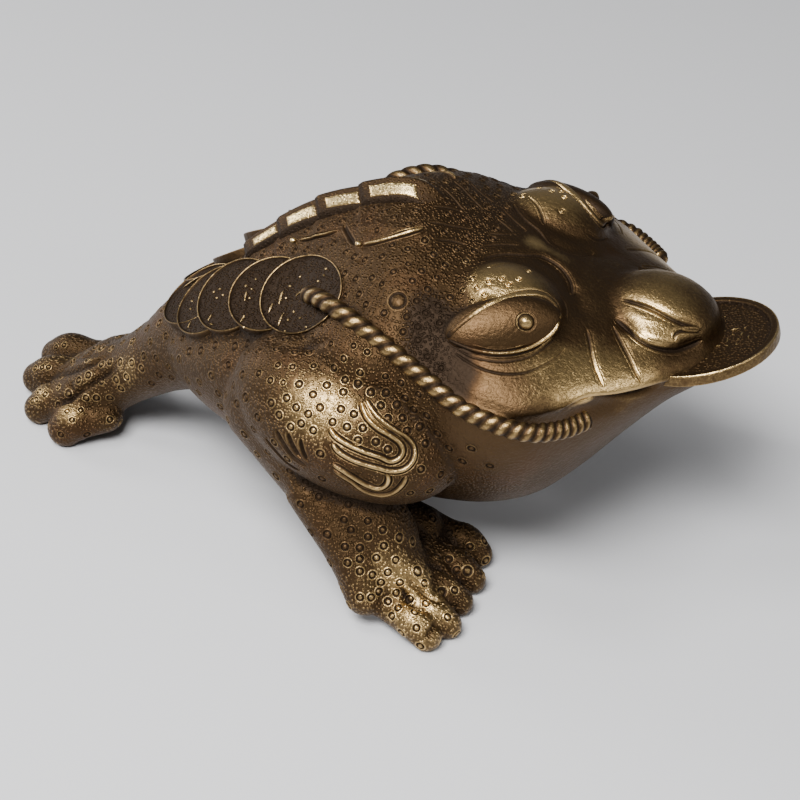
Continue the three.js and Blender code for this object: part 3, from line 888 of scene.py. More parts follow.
# Those that can be told apart in the photograph, by their pixels, and their size beside an ordinary one.
SEEN_MARKS = {
    "haunch": (
        0.95,
        [(299, 384), (327, 385), (313, 394.5), (343.5, 392), (358, 383.5), (286.5, 398), (271, 403),
         (296, 407.5), (308, 414), (279, 415), (320, 407.5), (341, 409), (354, 414), (332.5, 422),
         (347, 427), (363, 428), (301, 423.5), (290.5, 427), (313, 430.5), (358, 440.5), (376, 442),
         (388, 449.5)],
    ),
    "thigh_front": (
        0.95,
        [(371, 392.5), (386, 393), (405, 398.5), (381, 405.5), (397, 405), (413.5, 410), (426.5, 416),
         (388, 418.5), (403, 418), (407.5, 431), (420, 427), (437, 434), (426, 443.5)],
    ),
    "shoulder": (
        0.85,
        [(407, 317), (417, 301), (426, 313), (418, 327), (403, 332), (418, 340.5), (428, 289), (440, 323),
         (384, 313), (334, 368), (345, 380), (360, 373)],
    ),
    "forearm": (
        0.9,
        [(306, 482), (316.5, 487), (334, 494), (319, 497), (348.5, 504.5), (344, 520), (368, 521),
         (351, 530)],
    ),
    "foot": (
        0.95,
        [(368, 537), (383, 530), (360, 548), (384, 546), (345, 547), (360, 559), (376.5, 558), (347.5, 563),
         (360, 571.5), (372.5, 575), (388, 572.5), (396, 560), (381, 582.5), (379, 591.5), (371.5, 597.5),
         (396.5, 593), (388, 601.5), (398, 607.5), (415, 611.5), (391.5, 616), (416.5, 628), (360, 597.5)],
    ),
    "front_toes": (
        0.95,
        [(449, 532.5), (470, 547), (428, 545), (438, 556), (449, 559), (457, 570), (430, 574), (425, 583),
         (400, 583), (410, 599), (426, 603), (448, 617), (455, 590)],
    ),
    "big_toe_marks": (1.25, [(468, 571), (441.5, 592.5), (418, 571)]),
    "hind_leg": (
        0.95,
        [(110, 398), (121, 388.5), (116, 380), (126.5, 377), (131.5, 363), (141.5, 368.5), (143.5, 356),
         (156, 358.5), (101.5, 364), (110, 361.5), (88, 375), (78.5, 380), (96.5, 398), (86, 398.5)],
    ),
    "hind_toes": (
        0.75,
        [(35, 368), (42, 367), (48.5, 367), (73, 361), (39, 391), (45, 394), (58.5, 387), (67, 411),
         (72, 420), (81, 410), (56, 347), (64, 345)],
    ),
    "upper_lid": (0.6, [(471.5, 301.5), (484, 294.5), (502, 278.5), (509, 284), (529, 271), (519, 279)]),
    "boss": (2.0, [(397.5, 300.5)]),
}
BOSS_SIZE = 1.9  # ring marks from this size on are bosses
SCATTERED = 30000  # places tried for the other ring marks
SIZE_SPREAD = (0.88, 1.12)
ROPE_MARGIN, COIN_MARGIN = 1.5, 1.0
BAND_MARGIN = 1.1
EYE_MARGINS = (1.25, 1.35)  # the plain ground round an eye, beside the eye's length and height

# A ring mark's section: how far out, as shares of its radius, how high, as shares of its groove's depth, how
# worn and how hollow.
MARK_SECTION = [
    (0.0, 0.45, 0.25, 0.0),
    (0.25, 0.36, 0.2, 0.0),
    (0.45, 0.1, 0.1, 0.1),
    (0.58, -0.35, 0.0, 0.6),
    (0.7, -1.0, 0.0, 0.95),
    (0.84, -0.75, 0.0, 0.85),
    (0.94, 0.05, 0.1, 0.2),
    (1.03, 0.32, 0.4, 0.0),
    (1.14, 0.2, 0.25, 0.0),
    (1.27, 0.0, 0.05, 0.0),
    (1.4, -0.6, 0.0, 0.0),
]
BOSS_SECTION = [
    (0.0, 0.9, 0.3, 0.0),
    (0.3, 0.75, 0.3, 0.0),
    (0.55, 0.3, 0.2, 0.0),
    (0.7, -0.2, 0.0, 0.4),
    (0.78, -0.9, 0.0, 0.95),
    (0.86, -0.9, 0.0, 0.95),
    (0.95, 0.05, 0.4, 0.1),
    (1.04, 0.2, 0.5, 0.0),
    (1.15, 0.02, 0.1, 0.0),
    (1.3, -0.6, 0.0, 0.0),
]
PUPIL_SECTION = [
    (0.0, 4.6, 0.9, 0.0),
    (0.25, 4.3, 0.8, 0.0),
    (0.5, 3.2, 0.5, 0.0),
    (0.68, 1.9, 0.2, 0.1),
    (0.8, 0.4, 0.0, 0.7),
    (0.87, -0.8, 0.0, 1.0),
    (0.94, -0.8, 0.0, 0.9),
    (1.02, 0.0, 0.0, 0.2),
    (1.12, 0.05, 0.0, 0.0),
    (1.25, -0.02, 0.0, 0.0),
    (1.4, -0.6, 0.0, 0.0),
]


def mark_spacing(place, normal):
    """How far apart ring marks are at a place and how large they are, or None where the skin is plain."""
    x, y, z = place
    out = abs(y)
    underside, sole, hind_toes = normal.z < -0.35, z < 1.5, x < -79
    if underside or sole or hind_toes:
        return None
    hind_leg, front_leg = x < -46, z < 53 - 0.15 * max(x, 0) and out > 17
    if hind_leg:
        return 4.1, 0.92
    if front_leg:
        return (4.1, 0.97) if x < 40 else None
    jaw, lid = x > 24 and z < 60, 26 < x < 47 and out > 21 and z > 70
    if jaw:
        return None
    if lid:
        return 2.7, 0.62
    face, spine = x > 28, x < 16 and out < 5
    return None if face or spine else (3.2, 0.78)


def plan_marks(surface, tree, sizes):
    """Places for the ring marks: those seen in the photograph, on both sides, then others between them."""
    marks, cells = [], {}
    cell = 5.0

    def crowded(spot, spacing):
        i, j, k = np.floor(spot / cell).astype(int)
        return any(
            np.linalg.norm(spot - other) < spacing + reach
            for di in (-1, 0, 1)
            for dj in (-1, 0, 1)
            for dk in (-1, 0, 1)
            for other, reach in cells.get((i + di, j + dj, k + dk), ())
        )

    def keep(spot, normal, size, reach=0.0):
        cells.setdefault(tuple(np.floor(spot / cell).astype(int)), []).append((spot, reach))
        marks.append((Vector(spot), normal, size))

    for size, pixels in SEEN_MARKS.values():
        for place, _ in seen_at(pixels, tree):
            for side in (1, -1):
                spot, normal, _, _ = tree.find_nearest(Vector((place.x, place.y * side, place.z)))
                keep(np.array(spot), normal, size, size - 1 if size > 1.5 else 0)
    rng = np.random.default_rng(MARKS_SEED)
    quads = surface.points[surface.quads]
    area = np.linalg.norm(np.cross(quads[:, 2] - quads[:, 0], quads[:, 3] - quads[:, 1]), axis=1) / 2
    picks = rng.choice(len(quads), SCATTERED, p=area / area.sum())
    blend = rng.random((len(picks), 2, 1))
    quad = quads[picks]
    upper = quad[:, 0] + (quad[:, 1] - quad[:, 0]) * blend[:, 0]
    lower = quad[:, 3] + (quad[:, 2] - quad[:, 3]) * blend[:, 0]
    spots = upper + (lower - upper) * blend[:, 1]
    flank = spots.copy()
    flank[:, 1] = -np.abs(flank[:, 1])
    clear = line_distance(flank, np.array(ROPE_ROUTE))[0] > own(sizes.rope_radius) + ROPE_MARGIN
    for bands in CAST["bands"].values():
        for band in bands:
            near = near_line(flank, band.line, band.reach + BAND_MARGIN + 0.1)
            clear[near] &= line_distance(flank[near], band.line)[0] > band.reach + BAND_MARGIN
    ground = np.array([EYE["long"], EYE["high"]]) * EYE_MARGINS
    clear &= np.sum((((flank - EYE["middle"]) @ eye_plane())[:, :2] / ground) ** 2, axis=1) > 1
    for x, y, z, *direction in COIN_STRING:
        arm, axis = flank - (x, y, z), unit(np.array(direction))
        height = arm @ axis
        flat = np.linalg.norm(arm - height[:, None] * axis, axis=1)
        clear &= (flat > own(sizes.back_coin_radius) + COIN_MARGIN) | (height < -5)
    for spot in spots[clear]:
        _, normal, _, _ = tree.find_nearest(Vector(spot))
        row = mark_spacing(spot, normal)
        if row and not crowded(spot, row[0]):
            keep(spot, normal, row[1] * rng.uniform(*SIZE_SPREAD))
    return marks


def press_marks(points, normals, marks, radius, depth):
    """Sinks a surface under each ring mark, so that the mark's groove lies below it."""
    near = finder(points)
    sink = np.zeros(len(points))
    for place, _, size in marks:
        reach = radius * size * 1.1
        for _, i, gap in near.find_range(place, reach):
            sink[i] = max(sink[i], depth * min(1, 3 * (1 - gap / reach)))
    return normals * sink[:, None]


class Relief:
    """Small carved forms that lie on the skin, gathered for one mesh."""

    def __init__(self, stippled=0.0):
        self.points, self.faces, self.worn, self.hollow, self.stippled = [], [], [], [], []
        self.ground = stippled

    def add(self, points, faces, worn, hollow, stippled=None):
        base = len(self.points)
        self.points += [tuple(p) for p in points]
        self.faces += [tuple(base + k for k in face) for face in faces]
        self.worn += list(np.broadcast_to(worn, len(points)))
        self.hollow += list(np.broadcast_to(hollow, len(points)))
        self.stippled += list(np.broadcast_to(self.ground if stippled is None else stippled, len(points)))

    def add_mirrored(self, points, faces, worn, hollow, stippled=None):
        self.add(points, faces, worn, hollow, stippled)
        self.add(np.asarray(points) * (1, -1, 1), flipped(faces), worn, hollow, stippled)

    def take_patina_and_shade(self):
        """Lets each point be as worn, as sheltered and as stippled as the skin around it, with the skin's
        painted shade.
        """
        near, worn, hollow, stippled = (CAST[k] for k in ("near", "worn", "hollow", "stippled"))
        for i, point in enumerate(self.points):
            _, k, _ = near.find(point)
            self.worn[i] += worn[k]
            self.hollow[i] = max(self.hollow[i], hollow[k])
            self.stippled[i] = min(self.stippled[i], stippled[k])


def add_mark(relief, tree, place, normal, radius, depth, section=MARK_SECTION, around=14):
    """One ring mark: a dome in a ring groove with a low lip, laid on the skin."""
    side = normal.orthogonal().normalized()
    other = normal.cross(side)
    points, worn, hollow = [], [], []
    for out, high, how_worn, how_hollow in section:
        for j in range(around if out else 1):
            turn = 2 * math.pi * j / around
            aim = place + (side * math.cos(turn) + other * math.sin(turn)) * out * radius
            hit, _, _, _ = tree.ray_cast(aim + normal * PROBE_LIFT, -normal, 4)
            points.append((hit or aim) + normal * high * depth)
            worn.append(how_worn)
            hollow.append(how_hollow)
    faces = [(0, 1 + j, 1 + (j + 1) % around) for j in range(around)]
    for ring in range(len(section) - 2):
        a = 1 + ring * around
        for j in range(around):
            k = (j + 1) % around
            faces.append((a + j, a + around + j, a + around + k, a + k))
    relief.add(points, faces, np.array(worn), np.array(hollow))


BEAD_SIDES = 8


def bead(relief, line, normal, width, height, worn, taper, mirror):
    """A rounded ridge along a line, thinning out at both ends."""
    normals = np.tile(normal, (len(line), 1))
    across = unit(np.cross(normals, headings_of(line)))
    gone = gone_along(line)
    share = np.sqrt(np.clip(np.minimum(gone, gone[-1] - gone) / taper, 0, 1)) * 0.8 + 0.2
    points, faces = skin(ovals(line, across, normals, share * width, share * height, BEAD_SIDES))
    top = np.append(np.tile(np.sin(turns_of(BEAD_SIDES)), len(line)), [0, 0])
    add = relief.add_mirrored if mirror else relief.add
    add(points, faces, np.clip(top * 1.6 - 0.4, 0, 1) * worn, np.clip(0.6 - 2.2 * top, 0, 1))


def skin_line(pixels, tree, step=0.35, around=4):
    """A line on the skin through pixels of the photograph, with its normals eased over those around each."""
    line = evenly([place for place, _ in seen_at(pixels, tree)], step)
    laid, normals = [], []
    for point in line:
        place, normal, _, _ = tree.find_nearest(Vector(point))
        laid.append(place)
        normals.append(normal)
    normals = np.array(normals)
    kernel = np.ones(2 * around + 1) / (2 * around + 1)
    padded = np.pad(normals, ((around, around), (0, 0)), "edge")
    eased = np.stack([np.convolve(padded[:, k], kernel, "valid") for k in range(3)], axis=1)
    return np.array(laid), unit(eased)


# Where hands and handling have rubbed the patina off, by the pixels in the photograph, with the reach in
# millimetres and how much; a negative share darkens the skin, partly where the dark patina has stayed and
# partly as painted shade in hollows, on undersides and on the pouch behind the mouth under the key lamp's
# highlight.
RUBBED_AND_SHADED = {
    "haunch_top": ((318, 402), 12, 0.8),
    "haunch_low": ((330, 470), 10, -0.35),
    "haunch_back": ((262, 420), 8, -0.3),
    "forearm": ((325, 520), 12, -0.3),
    "upper_lid": ((500, 283), 8, 1.3),
    "brow_patch_rear": ((534, 241), 2.2, 1.6),
    "brow_patch": ((547, 240), 2.6, 1.6),
    "brow_patch_front": ((561, 250), 2.8, 1.6),
    "cheek": ((560, 378), 9, 0.5),
    "cheek_low": ((592, 377), 7, 0.5),
    "mouth_under": ((598, 403), 3.5, -0.6),
    # Painted shade: darkens the pouch behind the mouth, where the key lamp's highlight falls.
    "behind_mouth": ((455, 372), 8, -0.9),
    "behind_eye": ((432, 335), 6, -0.45),
    "nose_wing": ((648, 333), 5, 0.6),
    "nose_top": ((662, 298), 8, 0.55),
    "lip": ((612, 384), 6, 0.5),
    "lip_front": ((640, 380), 5, 0.5),
    "outer_toe": ((425, 605), 7, 0.75),
    "foot": ((390, 575), 7, 0.5),
    "hind_leg": ((130, 370), 5, 0.45),
    "hind_foot": ((60, 345), 5, 0.45),
    "hind_toe_second": ((42, 366), 4, 0.4),
    "hind_toe_third": ((46, 389), 4, 0.35),
    "hind_toe_near": ((70, 412), 4, 0.6),
    "hind_sole": ((75, 435), 4, -0.5),
    "hind_side": ((160, 385), 8, -0.4),
    "coins": ((262, 300), 17, -0.6),
    "tail_coin": ((200, 300), 10, -0.4),
    "spine_side": ((350, 222), 14, -0.35),
    "shoulder": ((420, 325), 9, -0.3),
    "shoulder_top": ((395, 270), 12, -0.25),
    "flank_over_haunch": ((330, 352), 9, -0.35),
    "brow_hollow": ((490, 228), 9, -0.35),
    "eye_corner": ((440, 300), 7, -0.35),
    "throat": ((520, 470), 16, -0.35),
}


def rubbed(surface, tree):
    flank = surface.flank()
    total = np.zeros(len(flank))
    for pixel, reach, share in RUBBED_AND_SHADED.values():
        (place, _), = seen_at([pixel], tree)
        total += share * np.exp(-np.sum((flank - place) ** 2, axis=1) / reach**2)
    return total


def smooth_step(values, low, high):
    t = np.clip((values - low) / (high - low), 0, 1)
    return t * t * (3 - 2 * t)


# Meshes, objects and the bronze


def make_piece(name, points, faces, masks, sharp):
    """A mesh piece from forms in the toad's own units, cast in bronze and riding with the toad."""
    mesh = bpy.data.meshes.new(name)
    mesh.from_pydata(to_frame(points).tolist(), [], faces)
    for attribute, values in masks.items():
        layer = mesh.attributes.new(attribute, "FLOAT", "POINT")
        layer.data.foreach_set("value", np.asarray(values, np.float32))
    mesh.shade_smooth()
    mesh.set_sharp_from_angle(angle=math.radians(sharp))
    mesh.materials.append(bronze())
    piece = bpy.data.objects.new(name, mesh)
    bpy.context.scene.collection.objects.link(piece)
    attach(piece, "root")
    return piece


def piece_from(name, relief, sharp):
    masks = {"worn": relief.worn, "hollow": relief.hollow, "stippled": relief.stippled}
    return make_piece(name, np.array(relief.points), relief.faces, masks, sharp)


NUMBER, COLOUR, VECTOR = "NodeSocketFloat", "NodeSocketColor", "NodeSocketVector"
BLACK = (0, 0, 0, 1)
# The bronze's tones: the darkest is dirt and painted shade, the palest is polished bronze with a painted
# sheen.
TONES = ("Dirt_and_shade", "Brown", "Rust", "Gold", "Polished_and_sheen")


def new_group(name, inputs, outputs):
    """An empty shader node group with its sockets: name, kind and, for an input, its default."""
    tree = bpy.data.node_groups.new(name, "ShaderNodeTree")
    for label, kind, default in inputs:
        socket = tree.interface.new_socket(label, in_out="INPUT", socket_type=kind)
        socket.default_value = default
    for label, kind in outputs:
        tree.interface.new_socket(label, in_out="OUTPUT", socket_type=kind)
    return tree, tree.nodes.new("NodeGroupInput"), tree.nodes.new("NodeGroupOutput")


def noise(tree, vector, scale, detail, roughness):
    node = tree.nodes.new("ShaderNodeTexNoise")
    node.inputs["Scale"].default_value = scale
    node.inputs["Detail"].default_value = detail
    node.inputs["Roughness"].default_value = roughness
    tree.links.new(vector, node.inputs["Vector"])
    return node.outputs["Fac"]


def calculated(tree, kind, a, b):
    node = tree.nodes.new("ShaderNodeMath")
    node.operation = kind
    for socket, value in zip(node.inputs, (a, b)):
        if isinstance(value, (int, float)):
            socket.default_value = value
        else:
            tree.links.new(value, socket)
    return node.outputs[0]


def plus(tree, a, b, share):
    """A value and a share of another; a negative share takes it off."""
    part = calculated(tree, "MULTIPLY", b, abs(share))
    return calculated(tree, "ADD" if share > 0 else "SUBTRACT", a, part)


def ranged(tree, value, low, high, to_low=0.0, to_high=1.0):
    node = tree.nodes.new("ShaderNodeMapRange")
    node.interpolation_type = "SMOOTHSTEP"
    for label, number in (("From Min", low), ("From Max", high), ("To Min", to_low), ("To Max", to_high)):
        node.inputs[label].default_value = number
    tree.links.new(value, node.inputs["Value"])
    return node.outputs["Result"]


def mixed(tree, share, a, b):
    """A mix of two colours by a share."""
    node = tree.nodes.new("ShaderNodeMix")
    node.data_type = "RGBA"
    sockets = [s for s in node.inputs if s.enabled]
    for socket, value in zip(sockets, (share, a, b)):
        if isinstance(value, (tuple, float)):
            socket.default_value = value
        else:
            tree.links.new(value, socket)
    return next(s for s in node.outputs if s.enabled)


def stipple_group():
    """The ground between the carving: close fine granules, as a height from 0 between them to 1 on each."""
    tree, given, put = new_group(
        "Stippled ground", [("Vector", VECTOR, (0, 0, 0)), ("Scale", NUMBER, 1000.0)], [("Height", NUMBER)]
    )
    cells = tree.nodes.new("ShaderNodeTexVoronoi")
    cells.feature = "F1"
    tree.links.new(given.outputs["Vector"], cells.inputs["Vector"])
    tree.links.new(given.outputs["Scale"], cells.inputs["Scale"])
    tree.links.new(ranged(tree, cells.outputs["Distance"], 0.2, 0.58, 1.0, 0.0), put.inputs["Height"])
    return tree


def patina_and_shade_group():
    """Aged bronze: dark in the hollows with dirt and painted shade, brown over the skin, rubbed to gold on
    what stands out and paler still, with a painted sheen, where it is rubbed the most.
    """
    tree, given, put = new_group(
        "Aged bronze",
        [
            ("Vector", VECTOR, (0, 0, 0)),
            ("Worn", NUMBER, 0.0),
            ("Hollow", NUMBER, 0.0),
            ("Stipple", NUMBER, 1.0),
            *((tone, COLOUR, BLACK) for tone in TONES),
        ],
        [("Colour", COLOUR), ("Roughness", NUMBER), ("Metal", NUMBER)],
    )
    vector = given.outputs["Vector"]
    cloud = noise(tree, vector, 42, 5, 0.6)
    mottle = noise(tree, vector, 300, 4, 0.65)
    grain = noise(tree, vector, 1500, 2, 0.6)
    uneven = plus(tree, calculated(tree, "MULTIPLY", cloud, 0.55), mottle, 0.45)
    pit = calculated(tree, "SUBTRACT", 1.0, given.outputs["Stipple"])
    rub = plus(tree, given.outputs["Worn"], uneven, 0.9)
    rub = plus(tree, rub, grain, 0.35)
    rub = plus(tree, rub, pit, -0.2)
    gold_share = ranged(tree, rub, 0.66, 1.65)
    # Darkening towards the darkest tone: dirt in the hollows, and painted shade where the skin is sheltered,
    # in creases and under parts.
    dark = plus(tree, given.outputs["Hollow"], uneven, 0.6)
    dark = plus(tree, dark, pit, 0.34)
    dark = plus(tree, dark, gold_share, -0.25)
    dirt_and_shade_share = ranged(tree, dark, 0.35, 1.1)
    rust_share = ranged(tree, noise(tree, vector, 65, 3, 0.5), 0.5, 0.78, 0.0, 0.4)
    shade = mixed(tree, rust_share, given.outputs["Brown"], given.outputs["Rust"])
    shade = mixed(tree, gold_share, shade, given.outputs["Gold"])
    # Polished bronze with a painted sheen where it is rubbed the most.
    shade = mixed(tree, ranged(tree, rub, 1.5, 2.3), shade, given.outputs["Polished_and_sheen"])
    shade = mixed(tree, dirt_and_shade_share, shade, given.outputs["Dirt_and_shade"])
    tree.links.new(shade, put.inputs["Colour"])
    rough = ranged(tree, calculated(tree, "SUBTRACT", gold_share, dirt_and_shade_share), -0.8, 0.9, 0.56, 0.24)
    tree.links.new(plus(tree, rough, grain, 0.1), put.inputs["Roughness"])
    tree.links.new(ranged(tree, dirt_and_shade_share, 0.3, 1, 1.0, 0.88), put.inputs["Metal"])
    return tree


def cast_grain_group():
    """The fine unevenness of a cast and rubbed surface, as a height."""
    tree, given, put = new_group(
        "Cast grain",
        [("Vector", VECTOR, (0, 0, 0)), ("Stipple", NUMBER, 1.0), ("Stippled", NUMBER, 1.0)],
        [("Height", NUMBER)],
    )
    vector = given.outputs["Vector"]
    swell = noise(tree, vector, 190, 2, 0.5)
    pits = ranged(tree, noise(tree, vector, 1150, 3, 0.65), 0.3, 0.62)
    granules = calculated(tree, "MULTIPLY", given.outputs["Stipple"], given.outputs["Stippled"])
    height = plus(tree, calculated(tree, "MULTIPLY", swell, 1.2), pits, 0.3)
    tree.links.new(plus(tree, height, granules, 1.3), put.inputs["Height"])
    return tree


def place_group(tree, group, values):
    node = tree.nodes.new("ShaderNodeGroup")
    node.node_tree = group
    for label, value in values.items():
        if isinstance(value, bpy.types.NodeSocket):
            tree.links.new(value, node.inputs[label])
        else:
            node.inputs[label].default_value = value
    return node


GRANULES = 1400.0  # to a metre
BUMP_STRENGTH, BUMP_HEIGHT = 0.75, 0.00022


def bronze():
    """The toad's bronze, with the wear, the dirt and painted shade, and the stippling that each mesh carries.
    """
    made = bpy.data.materials.get("aged_bronze")
    if made:
        return made
    looks = bpy.context.scene.toad_looks
    material = bpy.data.materials.new("aged_bronze")
    material.use_nodes = True
    tree = material.node_tree
    shader = tree.nodes["Principled BSDF"]
    where = tree.nodes.new("ShaderNodeTexCoord").outputs["Object"]
    masks = {}
    for label in ("worn", "hollow", "stippled"):
        node = tree.nodes.new("ShaderNodeAttribute")
        node.attribute_name = label
        masks[label] = node.outputs["Fac"]
    stipple = place_group(tree, stipple_group(), {"Vector": where, "Scale": GRANULES}).outputs["Height"]
    plain = calculated(tree, "SUBTRACT", 1.0, masks["stippled"])
    stipple = calculated(tree, "MAXIMUM", stipple, plain)
    patina = place_group(
        tree,
        patina_and_shade_group(),
        {
            "Vector": where,
            "Worn": masks["worn"],
            "Hollow": masks["hollow"],
            "Stipple": stipple,
            **{tone: (*getattr(looks, tone.lower()), 1) for tone in TONES},
        },
    )
    grain = place_group(
        tree, cast_grain_group(), {"Vector": where, "Stipple": stipple, "Stippled": masks["stippled"]}
    )
    bump = tree.nodes.new("ShaderNodeBump")
    bump.inputs["Strength"].default_value = BUMP_STRENGTH
    bump.inputs["Distance"].default_value = BUMP_HEIGHT
    tree.links.new(grain.outputs["Height"], bump.inputs["Height"])
    tree.links.new(patina.outputs["Colour"], shader.inputs["Base Color"])
    tree.links.new(patina.outputs["Roughness"], shader.inputs["Roughness"])
    tree.links.new(patina.outputs["Metal"], shader.inputs["Metallic"])
    tree.links.new(bump.outputs["Normal"], shader.inputs["Normal"])
    return material


# What a user can change


class ToadSizes(bpy.types.PropertyGroup):
    """Sizes of the casting's relief, in metres"""

    voxel: FloatProperty(
        name="Fineness", description="Width of the small squares that the skin is wrapped in",
        default=0.00048, min=0.0002, unit="LENGTH",
    )
    mark_radius: FloatProperty(
        name="Ring mark radius", description="From the dome's middle to the ring groove's lip",
        default=0.00106, unit="LENGTH",
    )
    mark_depth: FloatProperty(
        name="Ring mark depth", description="Depth of a ring mark's groove", default=0.0003, unit="LENGTH",
    )
    rope_radius: FloatProperty(
        name="Rope radius", description="Half the rope's thickness", default=0.00205, unit="LENGTH",
    )
    rope_strand: FloatProperty(
        name="Rope strand", description="Length of rope from one strand to the next", default=0.0034,
        unit="LENGTH",
    )
    back_coin_radius: FloatProperty(
        name="Back coin radius", description="Of each coin round the rump", default=0.0098, unit="LENGTH",
    )
    back_coin_thickness: FloatProperty(
        name="Back coin thickness", description="Of each coin round the rump", default=0.0022, unit="LENGTH",
    )
    lip_coin_radius: FloatProperty(
        name="Lip coin radius", description="Of the coin in the mouth", default=0.017, unit="LENGTH",
    )
    lip_coin_thickness: FloatProperty(
        name="Lip coin thickness", description="Of the coin in the mouth", default=0.0026, unit="LENGTH",
    )
    lip_coin_rim: FloatProperty(
        name="Lip coin rim", description="Width of the raised rim", default=0.0017, unit="LENGTH",
    )
    lip_coin_recess: FloatProperty(
        name="Lip coin recess", description="How far the face is sunk", default=0.0007, unit="LENGTH",
    )
    lip_coin_tilt: FloatProperty(
        name="Lip coin tilt", description="Free edge up", default=math.radians(17), subtype="ANGLE",
    )


class ToadLooks(bpy.types.PropertyGroup):
    """Colours of the aged bronze and of the stage"""

    # The darkest tone: old dirt in the hollows, and painted shade in sheltered places, creases and under
    # parts.
    dirt_and_shade: FloatVectorProperty(
        name="Dirt_and_shade", description="Old dirt in the hollows", default=(0.021, 0.012, 0.006), subtype="COLOR",
        min=0, max=1,
    )
    brown: FloatVectorProperty(
        name="Brown patina", description="The bronze's own skin", default=(0.067, 0.0395, 0.0185),
        subtype="COLOR", min=0, max=1,
    )
    rust: FloatVectorProperty(
        name="Red patina", description="Redder patches of the patina", default=(0.092, 0.043, 0.021),
        subtype="COLOR", min=0, max=1,
    )
    gold: FloatVectorProperty(
        name="Rubbed bronze", description="Where hands have rubbed the patina off",
        default=(0.56, 0.38, 0.16), subtype="COLOR", min=0, max=1,
    )
    # The palest tone: polished bronze where it is rubbed the most, made paler also as a painted sheen, so
    # that the crests look lit without a lamp's reflection.
    polished_and_sheen: FloatVectorProperty(
        name="Polished bronze", description="Where it is rubbed the most, as on the crests of the scutes",
        default=(0.66, 0.52, 0.26), subtype="COLOR", min=0, max=1,
    )
    floor: FloatVectorProperty(
        name="Floor", description="The pale floor", default=(0.55, 0.55, 0.56), subtype="COLOR",
        min=0, max=1,
    )


# The pieces


SMOOTHINGS, FILLETINGS = 3, 12  # rounds of each over the wrapped skin
# Where the dirt and painted shade and the wear start, and how much each form of the skin adds: its fine and
# its broad bend, how shut in it is, which paints shade as ambient occlusion does, how rubbed, and the grime
# where the dark patina has stayed, which is partly painted shade.
HOLLOW_BY = (-0.33, {"fine": 16, "broad": 24, "shut": 1.5, "rubbed": -0.5, "grime_and_shade": 1.6})
WORN_BY = (0.055, {"fine": -6, "broad": -7, "shut": -0.9, "rubbed": 1})
LEAST_WORN, GRIME_AND_SHADE_FROM = -0.6, 0.35
FACE_FROM, FACE_ABOVE = (22, 34), (30, 50)  # where the smooth face starts, along the toad and up it
STIPPLE_FULL, MOST_PLAIN, RUBBED_PLAIN = 1.2, 0.95, 0.6
MARK_SEAT = 1.5  # how deep the seat under a ring mark is, beside the mark's groove
SOLE_REACH = 0.3  # what lies lower than this is brought flat to the ground


class TOAD_OT_body(bpy.types.Operator):
    """Casts the body as one skin, with the seats of its ring marks and of its carved bands"""

    bl_idname = "toad.body"
    bl_label = "Body"

    def execute(self, context):
        sizes = context.scene.toad_sizes
        mesh = wrapped(*joined(shells(sizes)), own(sizes.voxel))
        surface = Surface(mesh)
        surface.smooth(SMOOTHINGS)
        surface.fill(FILLETINGS)
        surface.smooth(1)
        fold(surface, surface.tree())
        tree = CAST["tree"] = surface.tree()
        CAST["bands"] = {
            group: [Band(tree, *row) for row in bands.values()] for group, bands in BANDS.items()
        }
        CAST["marks"] = plan_marks(surface, tree, sizes)
        self.weather_and_shade(surface, tree)
        normals, flank = surface.normals(), surface.flank()
        sink = np.zeros(len(flank))
        for bands in CAST["bands"].values():
            for band in bands:
                band.press(flank, sink)
        radius, depth = own(sizes.mark_radius), own(sizes.mark_depth) * MARK_SEAT
        pressed = press_marks(surface.points, normals, CAST["marks"], radius, depth)
        surface.points -= pressed + normals * sink[:, None]
        surface.points[surface.points[:, 2] < SOLE_REACH, 2] = 0
        masks = {label: CAST[label] for label in ("worn", "hollow", "stippled")}
        bpy.data.meshes.remove(mesh)
        body = make_piece("toad_body", surface.points, surface.quads.tolist(), masks, ALL_SMOOTH)
        thin = body.modifiers.new("thin", "DECIMATE")
        thin.ratio = min(1, MOST_TRIANGLES / (2 * len(surface.quads)))
        bpy.context.view_layer.objects.active = body
        bpy.ops.object.modifier_apply(modifier=thin.name)
        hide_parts(NODE)
        return {"FINISHED"}

    def weather_and_shade(self, surface, tree):
        """Works out where the patina is rubbed off, and where dirt has gathered and shade is painted into the
        colour.
        """
        fine, broad = surface.bend(3), surface.bend(40)
        shut = shelter(surface, tree)
        spots = rubbed(surface, tree)
        x, _, z = surface.points.T
        # Kept patina and painted shade: where the darkened spots are strong, the colour goes to the darkest
        # tone.
        grime_and_shade = np.clip(-spots - GRIME_AND_SHADE_FROM, 0, 1)
        forms = {"fine": fine, "broad": broad, "shut": shut, "rubbed": spots, "grime_and_shade": grime_and_shade}
        # How shut in a point is adds painted shade to the dark mask.
        hollow, worn = (start + sum(by[k] * forms[k] for k in by) for start, by in (HOLLOW_BY, WORN_BY))
        CAST["hollow"], CAST["worn"] = np.clip(hollow, 0, 1), np.clip(worn, LEAST_WORN, 1)
        plain_face = MOST_PLAIN * smooth_step(x, *FACE_FROM) * smooth_step(z, *FACE_ABOVE)
        plain = plain_face + RUBBED_PLAIN * np.clip(spots, 0, 1)
        CAST["stippled"] = STIPPLE_FULL - np.minimum(plain, MOST_PLAIN)
        CAST["near"] = finder(surface.points)


